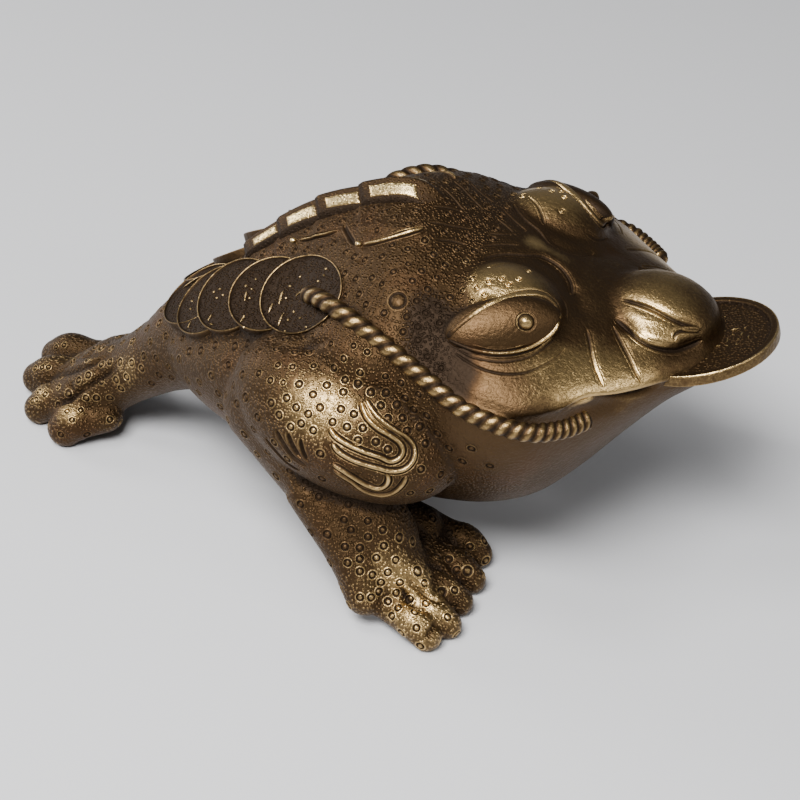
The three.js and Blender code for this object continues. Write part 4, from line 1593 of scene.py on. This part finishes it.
class TOAD_OT_ring_marks(bpy.types.Operator):
    """Lays the ring marks in their seats, the right side's and the left side's as two pieces"""

    bl_idname = "toad.ring_marks"
    bl_label = "Ring marks"

    def execute(self, context):
        sizes = context.scene.toad_sizes
        radius, depth = own(sizes.mark_radius), own(sizes.mark_depth)
        sides = {"ring_marks_right": Relief(0.5), "ring_marks_left": Relief(0.5)}
        for place, normal, size in CAST["marks"]:
            relief = sides["ring_marks_right" if place.y < 0 else "ring_marks_left"]
            around, section = (24, BOSS_SECTION) if size > BOSS_SIZE else (14, MARK_SECTION)
            add_mark(relief, CAST["tree"], place, normal, radius * size, depth, section, around)
        for name, relief in sides.items():
            relief.take_patina_and_shade()
            piece_from(name, relief, ALL_SMOOTH)
        return {"FINISHED"}


class TOAD_OT_bands(bpy.types.Operator):
    """Carves the lids, the lines of the face, the haunches' scrolls and flames and the scutes' edges"""

    bl_idname = "toad.bands"
    bl_label = "Carved bands"

    def execute(self, context):
        for group, bands in CAST["bands"].items():
            relief = Relief(0.1)
            for band in bands:
                band.lay(relief, CAST["tree"])
            relief.take_patina_and_shade()
            piece_from(f"{group}_carving", relief, ALL_SMOOTH)
        return {"FINISHED"}


STRANDS = 2
ROPE_END = (0.55, 0.85)  # radius of the rope's last two rings beside the others'


def twisted(points, radius, strand, sides=40, step=0.3):
    """A rope of strands along a curve, with how worn and how hollow each point is."""
    line = evenly(points, step)
    gone = np.arange(len(line)) * np.linalg.norm(line[1] - line[0])
    pace = strand * (1 - 0.5 * smooth_step(gone / gone[-1], 0.6, 0.95))
    lay = (STRANDS * turns_of(sides)[None] - 2 * math.pi * np.cumsum(step / pace)[:, None]) / 2
    bulge = np.abs(np.cos(lay)) ** 0.6
    reach = radius * (0.76 + 0.26 * bulge)
    reach[:2] *= np.array(ROPE_END)[:, None]
    reach[-2:] *= np.array(ROPE_END[::-1])[:, None]
    points, faces = skin(ovals(line, *level_axes(line), reach, reach, sides))
    flat = np.append(bulge.ravel(), [0.5, 0.5])
    worn, hollow = np.clip(flat * 2.2 - 1.6, -0.5, 0.5), np.clip(1.3 - 1.7 * flat, 0, 1)
    return points, flipped(faces), worn, hollow


class TOAD_OT_ropes(bpy.types.Operator):
    """Twists the rope along each side, from the first coin to the corner of the mouth"""

    bl_idname = "toad.ropes"
    bl_label = "Ropes"

    def execute(self, context):
        sizes = context.scene.toad_sizes
        relief = Relief(0.25)
        relief.add_mirrored(*twisted(ROPE_ROUTE, own(sizes.rope_radius), own(sizes.rope_strand)))
        piece_from("ropes", relief, 70)
        return {"FINISHED"}


def lathed(section, around):
    """A closed form turned about +Z from its section, with how worn and how hollow each point is."""
    rings = [circle(out, around) + (0, 0, high) for out, high, _, _ in section[1:-1]]
    points, faces = skin(rings)
    points[-2], points[-1] = (0, 0, section[0][1]), (0, 0, section[-1][1])
    marks = []
    for column in (2, 3):
        values = np.array([row[column] for row in section], float)
        marks.append(np.append(np.repeat(values[1:-1], around), [values[0], values[-1]]))
    return points, faces, *marks


BACK_COIN_RECESS = 0.35  # how far a back coin's face is sunk
BACK_COIN_RIM = 0.7  # width of its edge that isn't stippled


def back_coin_section(radius, top):
    """A back coin's section: a thin raised rim round a dark face, with how worn and how hollow it is."""
    face = top - BACK_COIN_RECESS
    rows = [
        (0, -top, 0, 0.5),
        (radius * 0.98, -top, 0, 0.5),
        (radius, top - 0.3, 0, 0.3),
        (radius - 0.06, top - 0.06, 0.1, 0),
        (radius - 0.18, top + 0.04, 0.5, 0),
        (radius - 0.32, top, 0.3, 0),
        (radius - 0.44, face + 0.08, -0.2, 0.75),
        (radius - 0.6, face - 0.04, -0.4, 1.0),
        (radius - 0.95, face, -0.3, 0.6),
    ]
    rows += [(radius * out, face, -0.08, 0.5) for out in (0.8, 0.7, 0.6, 0.5, 0.4, 0.3, 0.2, 0.1)]
    return [*rows, (0, face, -0.08, 0.5)]


# Strokes and dots on the back coins that aren't letters, by their pixels in the photograph.
COIN_STROKES = [
    [(278, 326), (283.5, 313)],
    [(279, 304), (283, 291)],
    [(296, 296), (304, 289.5)],
    [(308, 293), (318, 288)],
    [(269, 312), (273, 303)],
    [(240, 323), (245, 315)],
    [(244.5, 301), (247, 291)],
    [(208, 321), (212, 314)],
    [(188, 328), (191, 321.5)],
    [(184, 287), (198, 277.5)],
]
COIN_DOTS = [
    (290, 286), (286, 298), (300, 277), (324, 275), (326, 269), (318, 281), (294, 312), (288, 320),
    (300, 318), (252, 289), (250, 298), (246, 286), (256, 279), (217, 298), (214, 292), (220, 289),
    (223, 295), (211, 324), (191, 309), (192, 301), (244, 327), (285, 331), (306, 327),
]


DOT_AXES = (0.3, 0.3, 0.24)
SHOULDER_REACH = 14  # how far towards the camera the shoulder is looked for


class TOAD_OT_back_coins(bpy.types.Operator):
    """Strings the five coins round each side of the rump"""

    bl_idname = "toad.back_coins"
    bl_label = "Back coins"

    def execute(self, context):
        sizes = context.scene.toad_sizes
        radius, top = own(sizes.back_coin_radius), own(sizes.back_coin_thickness) / 2
        relief = Relief(1.0)
        for i, (x, y, z, *direction) in enumerate(COIN_STRING):
            points, faces, worn, hollow = lathed(back_coin_section(radius, top), 96)
            turn = facing(direction)
            placed = points @ turn.T + (x, y, z)
            if i == 0:
                placed = self.draped(placed, points[:, 2], turn[:, 2], top - BACK_COIN_RECESS)
            smooth_rim = np.where(np.hypot(points[:, 0], points[:, 1]) > radius - BACK_COIN_RIM, 0.0, 2.2)
            relief.add_mirrored(placed, faces, worn, hollow, smooth_rim)
        tree = BVHTree.FromPolygons(relief.points, relief.faces)
        for ends in COIN_STROKES:
            found = seen_at(ends, tree)
            line = np.linspace(found[0][0], found[1][0], 9)
            bead(relief, line, found[0][1], 0.26, 0.26, worn=0.9, taper=1.2, mirror=True)
        for place, normal in seen_at(COIN_DOTS, tree):
            points, faces = egg(place, DOT_AXES, around=10, rows=6)
            relief.add_mirrored(points, faces, 0.9, 0.0)
        piece_from("back_coins", relief, 40)
        return {"FINISHED"}

    def draped(self, placed, heights, out, face):
        """Brings the first coin's face out to where the shoulder would cover it, as seen by the camera."""
        view = Vector(view_axes()[2])
        lifted = placed.copy()
        for i, (point, height) in enumerate(zip(placed, heights)):
            if height < 0:
                continue
            base = Vector(point - out * (height - face))
            hit, _, _, _ = CAST["tree"].ray_cast(base + view * SHOULDER_REACH, -view, SHOULDER_REACH)
            if hit:
                lifted[i] = np.array(hit) + out * (height - face + 0.15)
        return lifted


def lip_coin_section(radius, top, rim, recess):
    """The lip coin's section: a broad rounded rim round a sunk dark face."""
    face = top - recess
    rows = [
        (0, -top, 0.1, 0.1),
        (radius - 0.35, -top, 0.3, 0),
        (radius - 0.08, -top + 0.1, 0.6, 0),
        (radius, -top + 0.4, 0.35, 0),
        (radius, top - 0.45, 0.35, 0),
        (radius - 0.06, top - 0.12, 0.8, 0),
        (radius - 0.2, top, 1.3, 0),
        (radius - 0.42, top - 0.05, 0.3, 0),
        (radius - rim * 0.6, top - 0.12, -0.1, 0.1),
        (radius - rim + 0.2, top - 0.04, 0.2, 0),
        (radius - rim, top - 0.15, 0.1, 0.3),
        (radius - rim - 0.2, face + 0.08, -0.3, 0.8),
        (radius - rim - 0.6, face - 0.03, 0, 0.3),
        (radius - rim - 1.5, face, 0.1, 0.1),
    ]
    return [*rows, (radius * 0.5, face, 0.1, 0.1), (0, face, 0.1, 0.1)]


# The small strokes and dots of the lip coin, in shares of its radius: along it, across it, length, turn.
LIP_COIN_STROKES = [
    (0.25, -0.22, 0.10, 20), (0.38, -0.22, 0.03, 0), (0.5, -0.2, 0.03, 0), (0.25, -0.1, 0.03, 0),
    (0.36, -0.08, 0.1, 95), (0.5, -0.07, 0.03, 0), (0.25, 0.02, 0.08, 10), (0.4, 0.05, 0.03, 0),
    (0.52, 0.06, 0.08, 80), (0.28, 0.15, 0.03, 0), (0.4, 0.18, 0.1, 15), (0.53, 0.2, 0.03, 0),
    (0.62, -0.02, 0.06, 95), (0.1, -0.45, 0.12, 60), (0.18, -0.52, 0.03, 0), (0.05, -0.56, 0.03, 0),
    (0.1, 0.45, 0.12, 110), (0.2, 0.52, 0.03, 0), (0.0, 0.6, 0.05, 30),
]


class TOAD_OT_lip_coin(bpy.types.Operator):
    """Puts the big coin in the mouth"""

    bl_idname = "toad.lip_coin"
    bl_label = "Lip coin"

    def execute(self, context):
        sizes = context.scene.toad_sizes
        radius, thickness = own(sizes.lip_coin_radius), own(sizes.lip_coin_thickness)
        rim, recess, tilt = own(sizes.lip_coin_rim), own(sizes.lip_coin_recess), sizes.lip_coin_tilt
        points, faces, worn, hollow = lathed(lip_coin_section(radius, thickness / 2, rim, recess), 144)
        turn = np.array(Matrix.Rotation(-tilt, 3, "Y"))
        reach = radius * math.cos(tilt) + thickness / 2 * math.sin(tilt)
        centre = np.array([FOREMOST - reach, 0, LIPS_HEIGHT])
        stippled = np.where(np.hypot(points[:, 0], points[:, 1]) < radius - rim, 1.0, 0.4)
        relief = Relief(0.3)
        relief.add(points @ turn.T + centre, faces, worn, hollow, stippled)
        right, up, out = turn.T
        for along, across, length, lean in LIP_COIN_STROKES:
            middle = centre + out * (thickness / 2 - recess) + radius * (right * along + up * across)
            aim = right * math.cos(math.radians(lean)) + up * math.sin(math.radians(lean))
            line = middle + np.linspace(-length, length, 7)[:, None] * radius / 2 * aim
            bead(relief, line, out, 0.3, 0.28, worn=1.3, taper=1.0, mirror=False)
        piece_from("lip_coin", relief, 40)
        return {"FINISHED"}


# A crest's section: how far out from the spine and how far below the crest's top.
CREST_SECTION = [
    (0, 0), (0.3, 0.06), (0.6, 0.3), (4.1, 2.75), (4.5, 3.2), (4.75, 4.0), (5.0, 5.2), (5.4, 8.5),
]
CREST_SWEEP = 0.55  # how far a crest's tail end is swept forward for each millimetre out from the spine
PANEL_OUT = (1.15, 4.05)  # how far out from the spine a crest's raised panel starts and ends
PANEL_LIFT = 0.35
PANEL_INSET = 2.1  # how far in front of the crest's tail end the panel starts
PANEL_ROWS = (0, 0.06, 0.16, 0.34, 0.66, 0.84, 0.94, 1)  # shares of its way out, closer at the edges
PANEL_COLUMNS = 20
KNOB_AXES, KNOB_LIFT = (0.75, 0.7, 0.6), 0.3
LAST_PANEL_END = 8  # where the foremost scute's panel ends
PANEL_GAP = 0.15  # between one panel's front and the next scute


def crest(scute, rows=24):
    """One scute's crest: a gabled ridge whose tail end stands over the scute behind."""
    (start, end), (rear, front), wide = scute["spine"], scute["over"], scute["wide"]
    right = [(-out, drop) for out, drop in CREST_SECTION[::-1]]
    section = right + [(out, drop) for out, drop in CREST_SECTION[1:]]
    rings, hollow = [], []
    for k, t in enumerate(np.linspace(0, 1, rows)):
        ring = []
        for share, fall in section:
            out, drop = share * wide, fall * wide
            swept = start + abs(out) * CREST_SWEEP * (1 - t) + (end - start) * t
            top = back_height(swept, 0) + rear + (front - rear) * t ** scute["bow"]
            sunk = 0.5 if k == 0 else 0
            ring.append((swept, out, top - drop - sunk))
        rings.append(ring)
        # Painted shade: the tail end, standing over the scute behind, is made fully dark, and the slopes
        # darker the lower they drop.
        hollow += [1.0 if k == 0 else np.clip((drop - 2.3) * 0.8, 0.15, 0.9) for _, drop in section]
    points, faces = skin(rings)
    return points, flipped(faces), np.append(hollow, [1, 0.5])


def raised_panel(relief, rear, front, wide, tree):
    """The rubbed panel on each slope of a crest, rounded at its edges."""
    points, worn = [], []
    for v in PANEL_ROWS:
        out = (PANEL_OUT[0] + (PANEL_OUT[1] - PANEL_OUT[0]) * v) * wide
        for u in (1 - np.cos(np.linspace(0, math.pi, PANEL_COLUMNS))) / 2:
            x = rear + (front - rear) * u + out * CREST_SWEEP
            place, normal, _, _ = tree.ray_cast(Vector((x, -out, 120)), Vector((0, 0, -1)))
            full = min(1, min(u, 1 - u) * 16, min(v, 1 - v) * 6) ** 0.5
            points.append(place + normal * (PANEL_LIFT * full - 0.12))
            worn.append(0.1 + 1.25 * full)
    relief.add_mirrored(points, sheet_faces(len(PANEL_ROWS), PANEL_COLUMNS), np.array(worn), 0.0, 0.7)


class TOAD_OT_scutes(bpy.types.Operator):
    """Lays the crests of the four scutes along the spine, with a rubbed panel on each slope"""

    bl_idname = "toad.scutes"
    bl_label = "Scutes"

    def execute(self, context):
        relief = Relief(0.8)
        for scute in SCUTES:
            points, faces, hollow = crest(scute)
            relief.add(points, faces, 0.0, hollow)
        tree = BVHTree.FromPolygons(relief.points, relief.faces)
        ends = [scute["spine"][0] for scute in SCUTES[1:]] + [LAST_PANEL_END]
        for scute, front in zip(SCUTES, ends):
            raised_panel(relief, scute["spine"][0] + PANEL_INSET, front - PANEL_GAP, scute["wide"], tree)
        for pixel in SCUTE_KNOBS:
            (place, normal), = seen_at([pixel], CAST["tree"])
            points, faces = egg(np.array(place + normal * KNOB_LIFT), KNOB_AXES, around=16, rows=10)
            relief.add_mirrored(points, faces, 1.2, 0.0, 0.0)
        piece_from("spine_scutes", relief, 50)
        return {"FINISHED"}


BALL_PROUD, BALL_BULGE = 0.005, 1.03  # how much larger the ball is than the form under it
PUPIL_RADIUS, PUPIL_AROUND = 2.15, 36
PUPIL_SEAT, PUPIL_DEPTH = 0.42, 0.28  # how deep its seat in the ball is and its groove


class TOAD_OT_eyes(bpy.types.Operator):
    """Sets each eye: a smooth ball with a raised pupil in a ring groove"""

    bl_idname = "toad.eyes"
    bl_label = "Eyes"

    def execute(self, context):
        share = BALL_SHARE + BALL_PROUD
        axes = (EYE["long"] * share, EYE["high"] * share, EYE["bulge"] * BALL_BULGE)
        points, faces = egg((0, 0, 0), axes, around=120, rows=60)
        points = on_eye(points)
        tree = BVHTree.FromPolygons(points.tolist(), faces)
        (pupil, normal), = seen_at([PUPIL_PIXEL], tree)
        relief = Relief(0.1)
        middle = np.array(EYE["middle"])
        sink = press_marks(points, unit(points - middle), [(pupil, normal, 1.0)], PUPIL_RADIUS, PUPIL_SEAT)
        out = eye_plane()[:, 2]
        edge = np.clip(1 - ((points - middle) @ out) / (axes[2] * 0.5), 0, 1)
        relief.add_mirrored(points - sink, faces, -0.05 - 0.2 * edge, 0.7 * edge)
        pupil_relief = Relief(0.1)
        add_mark(pupil_relief, tree, pupil, normal, PUPIL_RADIUS, PUPIL_DEPTH, PUPIL_SECTION, PUPIL_AROUND)
        relief.add_mirrored(pupil_relief.points, pupil_relief.faces, pupil_relief.worn, pupil_relief.hollow)
        piece_from("eyes", relief, 70)
        return {"FINISHED"}


FLOOR_HALF, FLOOR_ROUGHNESS = 3.0, 0.6
ROOM_LIGHT = ((0.5, 0.51, 0.53, 1), 0.34)
LIGHTS_AIM = (0, 0, 0.04)
# The soft lights: place and size in metres, and power in watts.
LIGHTS = {
    "key": ((-0.04, -0.48, 0.67), (0.4, 0.26), 14.5),
    "top": ((-0.2, -0.16, 0.76), (0.26, 0.2), 2.5),
    "rear": ((-0.74, 0.14, 0.3), (0.3, 0.25), 3.5),
    "side": ((0.75, -0.2, 0.45), (0.3, 0.3), 1.5),
}


class TOAD_OT_stage(bpy.types.Operator):
    """Makes the pale floor, the soft lights and the camera"""

    bl_idname = "toad.stage"
    bl_label = "Stage"

    def execute(self, context):
        scene = context.scene
        mesh = bpy.data.meshes.new("floor")
        corners = [(x * FLOOR_HALF, y * FLOOR_HALF, 0) for x, y in ((-1, -1), (1, -1), (1, 1), (-1, 1))]
        mesh.from_pydata(corners, [], [(0, 1, 2, 3)])
        floor = bpy.data.objects.new("floor", mesh)
        scene.collection.objects.link(floor)
        paint = bpy.data.materials.new("floor")
        paint.use_nodes = True
        shader = paint.node_tree.nodes["Principled BSDF"]
        shader.inputs["Base Color"].default_value = (*scene.toad_looks.floor, 1)
        shader.inputs["Roughness"].default_value = FLOOR_ROUGHNESS
        mesh.materials.append(paint)
        world = bpy.data.worlds.new("studio")
        world.use_nodes = True
        background = world.node_tree.nodes["Background"].inputs
        background["Color"].default_value, background["Strength"].default_value = ROOM_LIGHT
        scene.world = world
        for name, row in LIGHTS.items():
            self.light(name, *row)
        self.camera(scene)
        return {"FINISHED"}

    def light(self, name, place, size, power):
        data = bpy.data.lights.new(name, "AREA")
        data.shape = "RECTANGLE"
        data.size, data.size_y = size
        data.energy = power
        lamp = bpy.data.objects.new(name, data)
        lamp.location = place
        lamp.rotation_euler = (Vector(LIGHTS_AIM) - Vector(place)).to_track_quat("-Z", "Y").to_euler()
        bpy.context.scene.collection.objects.link(lamp)

    def camera(self, scene):
        data = bpy.data.cameras.new("camera")
        data.sensor_width = SENSOR
        data.lens = FOCAL_PIXELS / PICTURE * data.sensor_width
        data.clip_start, data.clip_end = SEEN_FROM_TO
        camera = bpy.data.objects.new("camera", data)
        right, up, back = view_axes()
        place = (TARGET + back * DISTANCE) * MM
        rows = [[right[k], up[k], back[k], place[k]] for k in range(3)]
        camera.matrix_world = Matrix([*rows, [0, 0, 0, 1]])
        scene.collection.objects.link(camera)
        scene.camera = camera


PIECES = (
    TOAD_OT_body,
    TOAD_OT_ring_marks,
    TOAD_OT_bands,
    TOAD_OT_ropes,
    TOAD_OT_back_coins,
    TOAD_OT_lip_coin,
    TOAD_OT_scutes,
    TOAD_OT_eyes,
    TOAD_OT_stage,
)


class TOAD_PT_panel(bpy.types.Panel):
    """The toad's sizes, looks and pieces"""

    bl_label = "Money toad"
    bl_idname = "TOAD_PT_panel"
    bl_space_type = "VIEW_3D"
    bl_region_type = "UI"
    bl_category = "Toad"

    def draw(self, context):
        layout = self.layout
        for group in (context.scene.toad_sizes, context.scene.toad_looks):
            for name in group.bl_rna.properties.keys():
                if name not in ("rna_type", "name"):
                    layout.prop(group, name)
        for piece in PIECES:
            layout.operator(piece.bl_idname)


CLASSES = (ToadSizes, ToadLooks, *PIECES, TOAD_PT_panel)


def register():
    for one in CLASSES:
        bpy.utils.register_class(one)
    bpy.types.Scene.toad_sizes = PointerProperty(type=ToadSizes)
    bpy.types.Scene.toad_looks = PointerProperty(type=ToadLooks)


def unregister():
    del bpy.types.Scene.toad_looks
    del bpy.types.Scene.toad_sizes
    for one in reversed(CLASSES):
        bpy.utils.unregister_class(one)


def main():
    register()
    for piece in PIECES:
        area, name = piece.bl_idname.split(".")
        getattr(getattr(bpy.ops, area), name)()


if __name__ == "__main__":
    main()
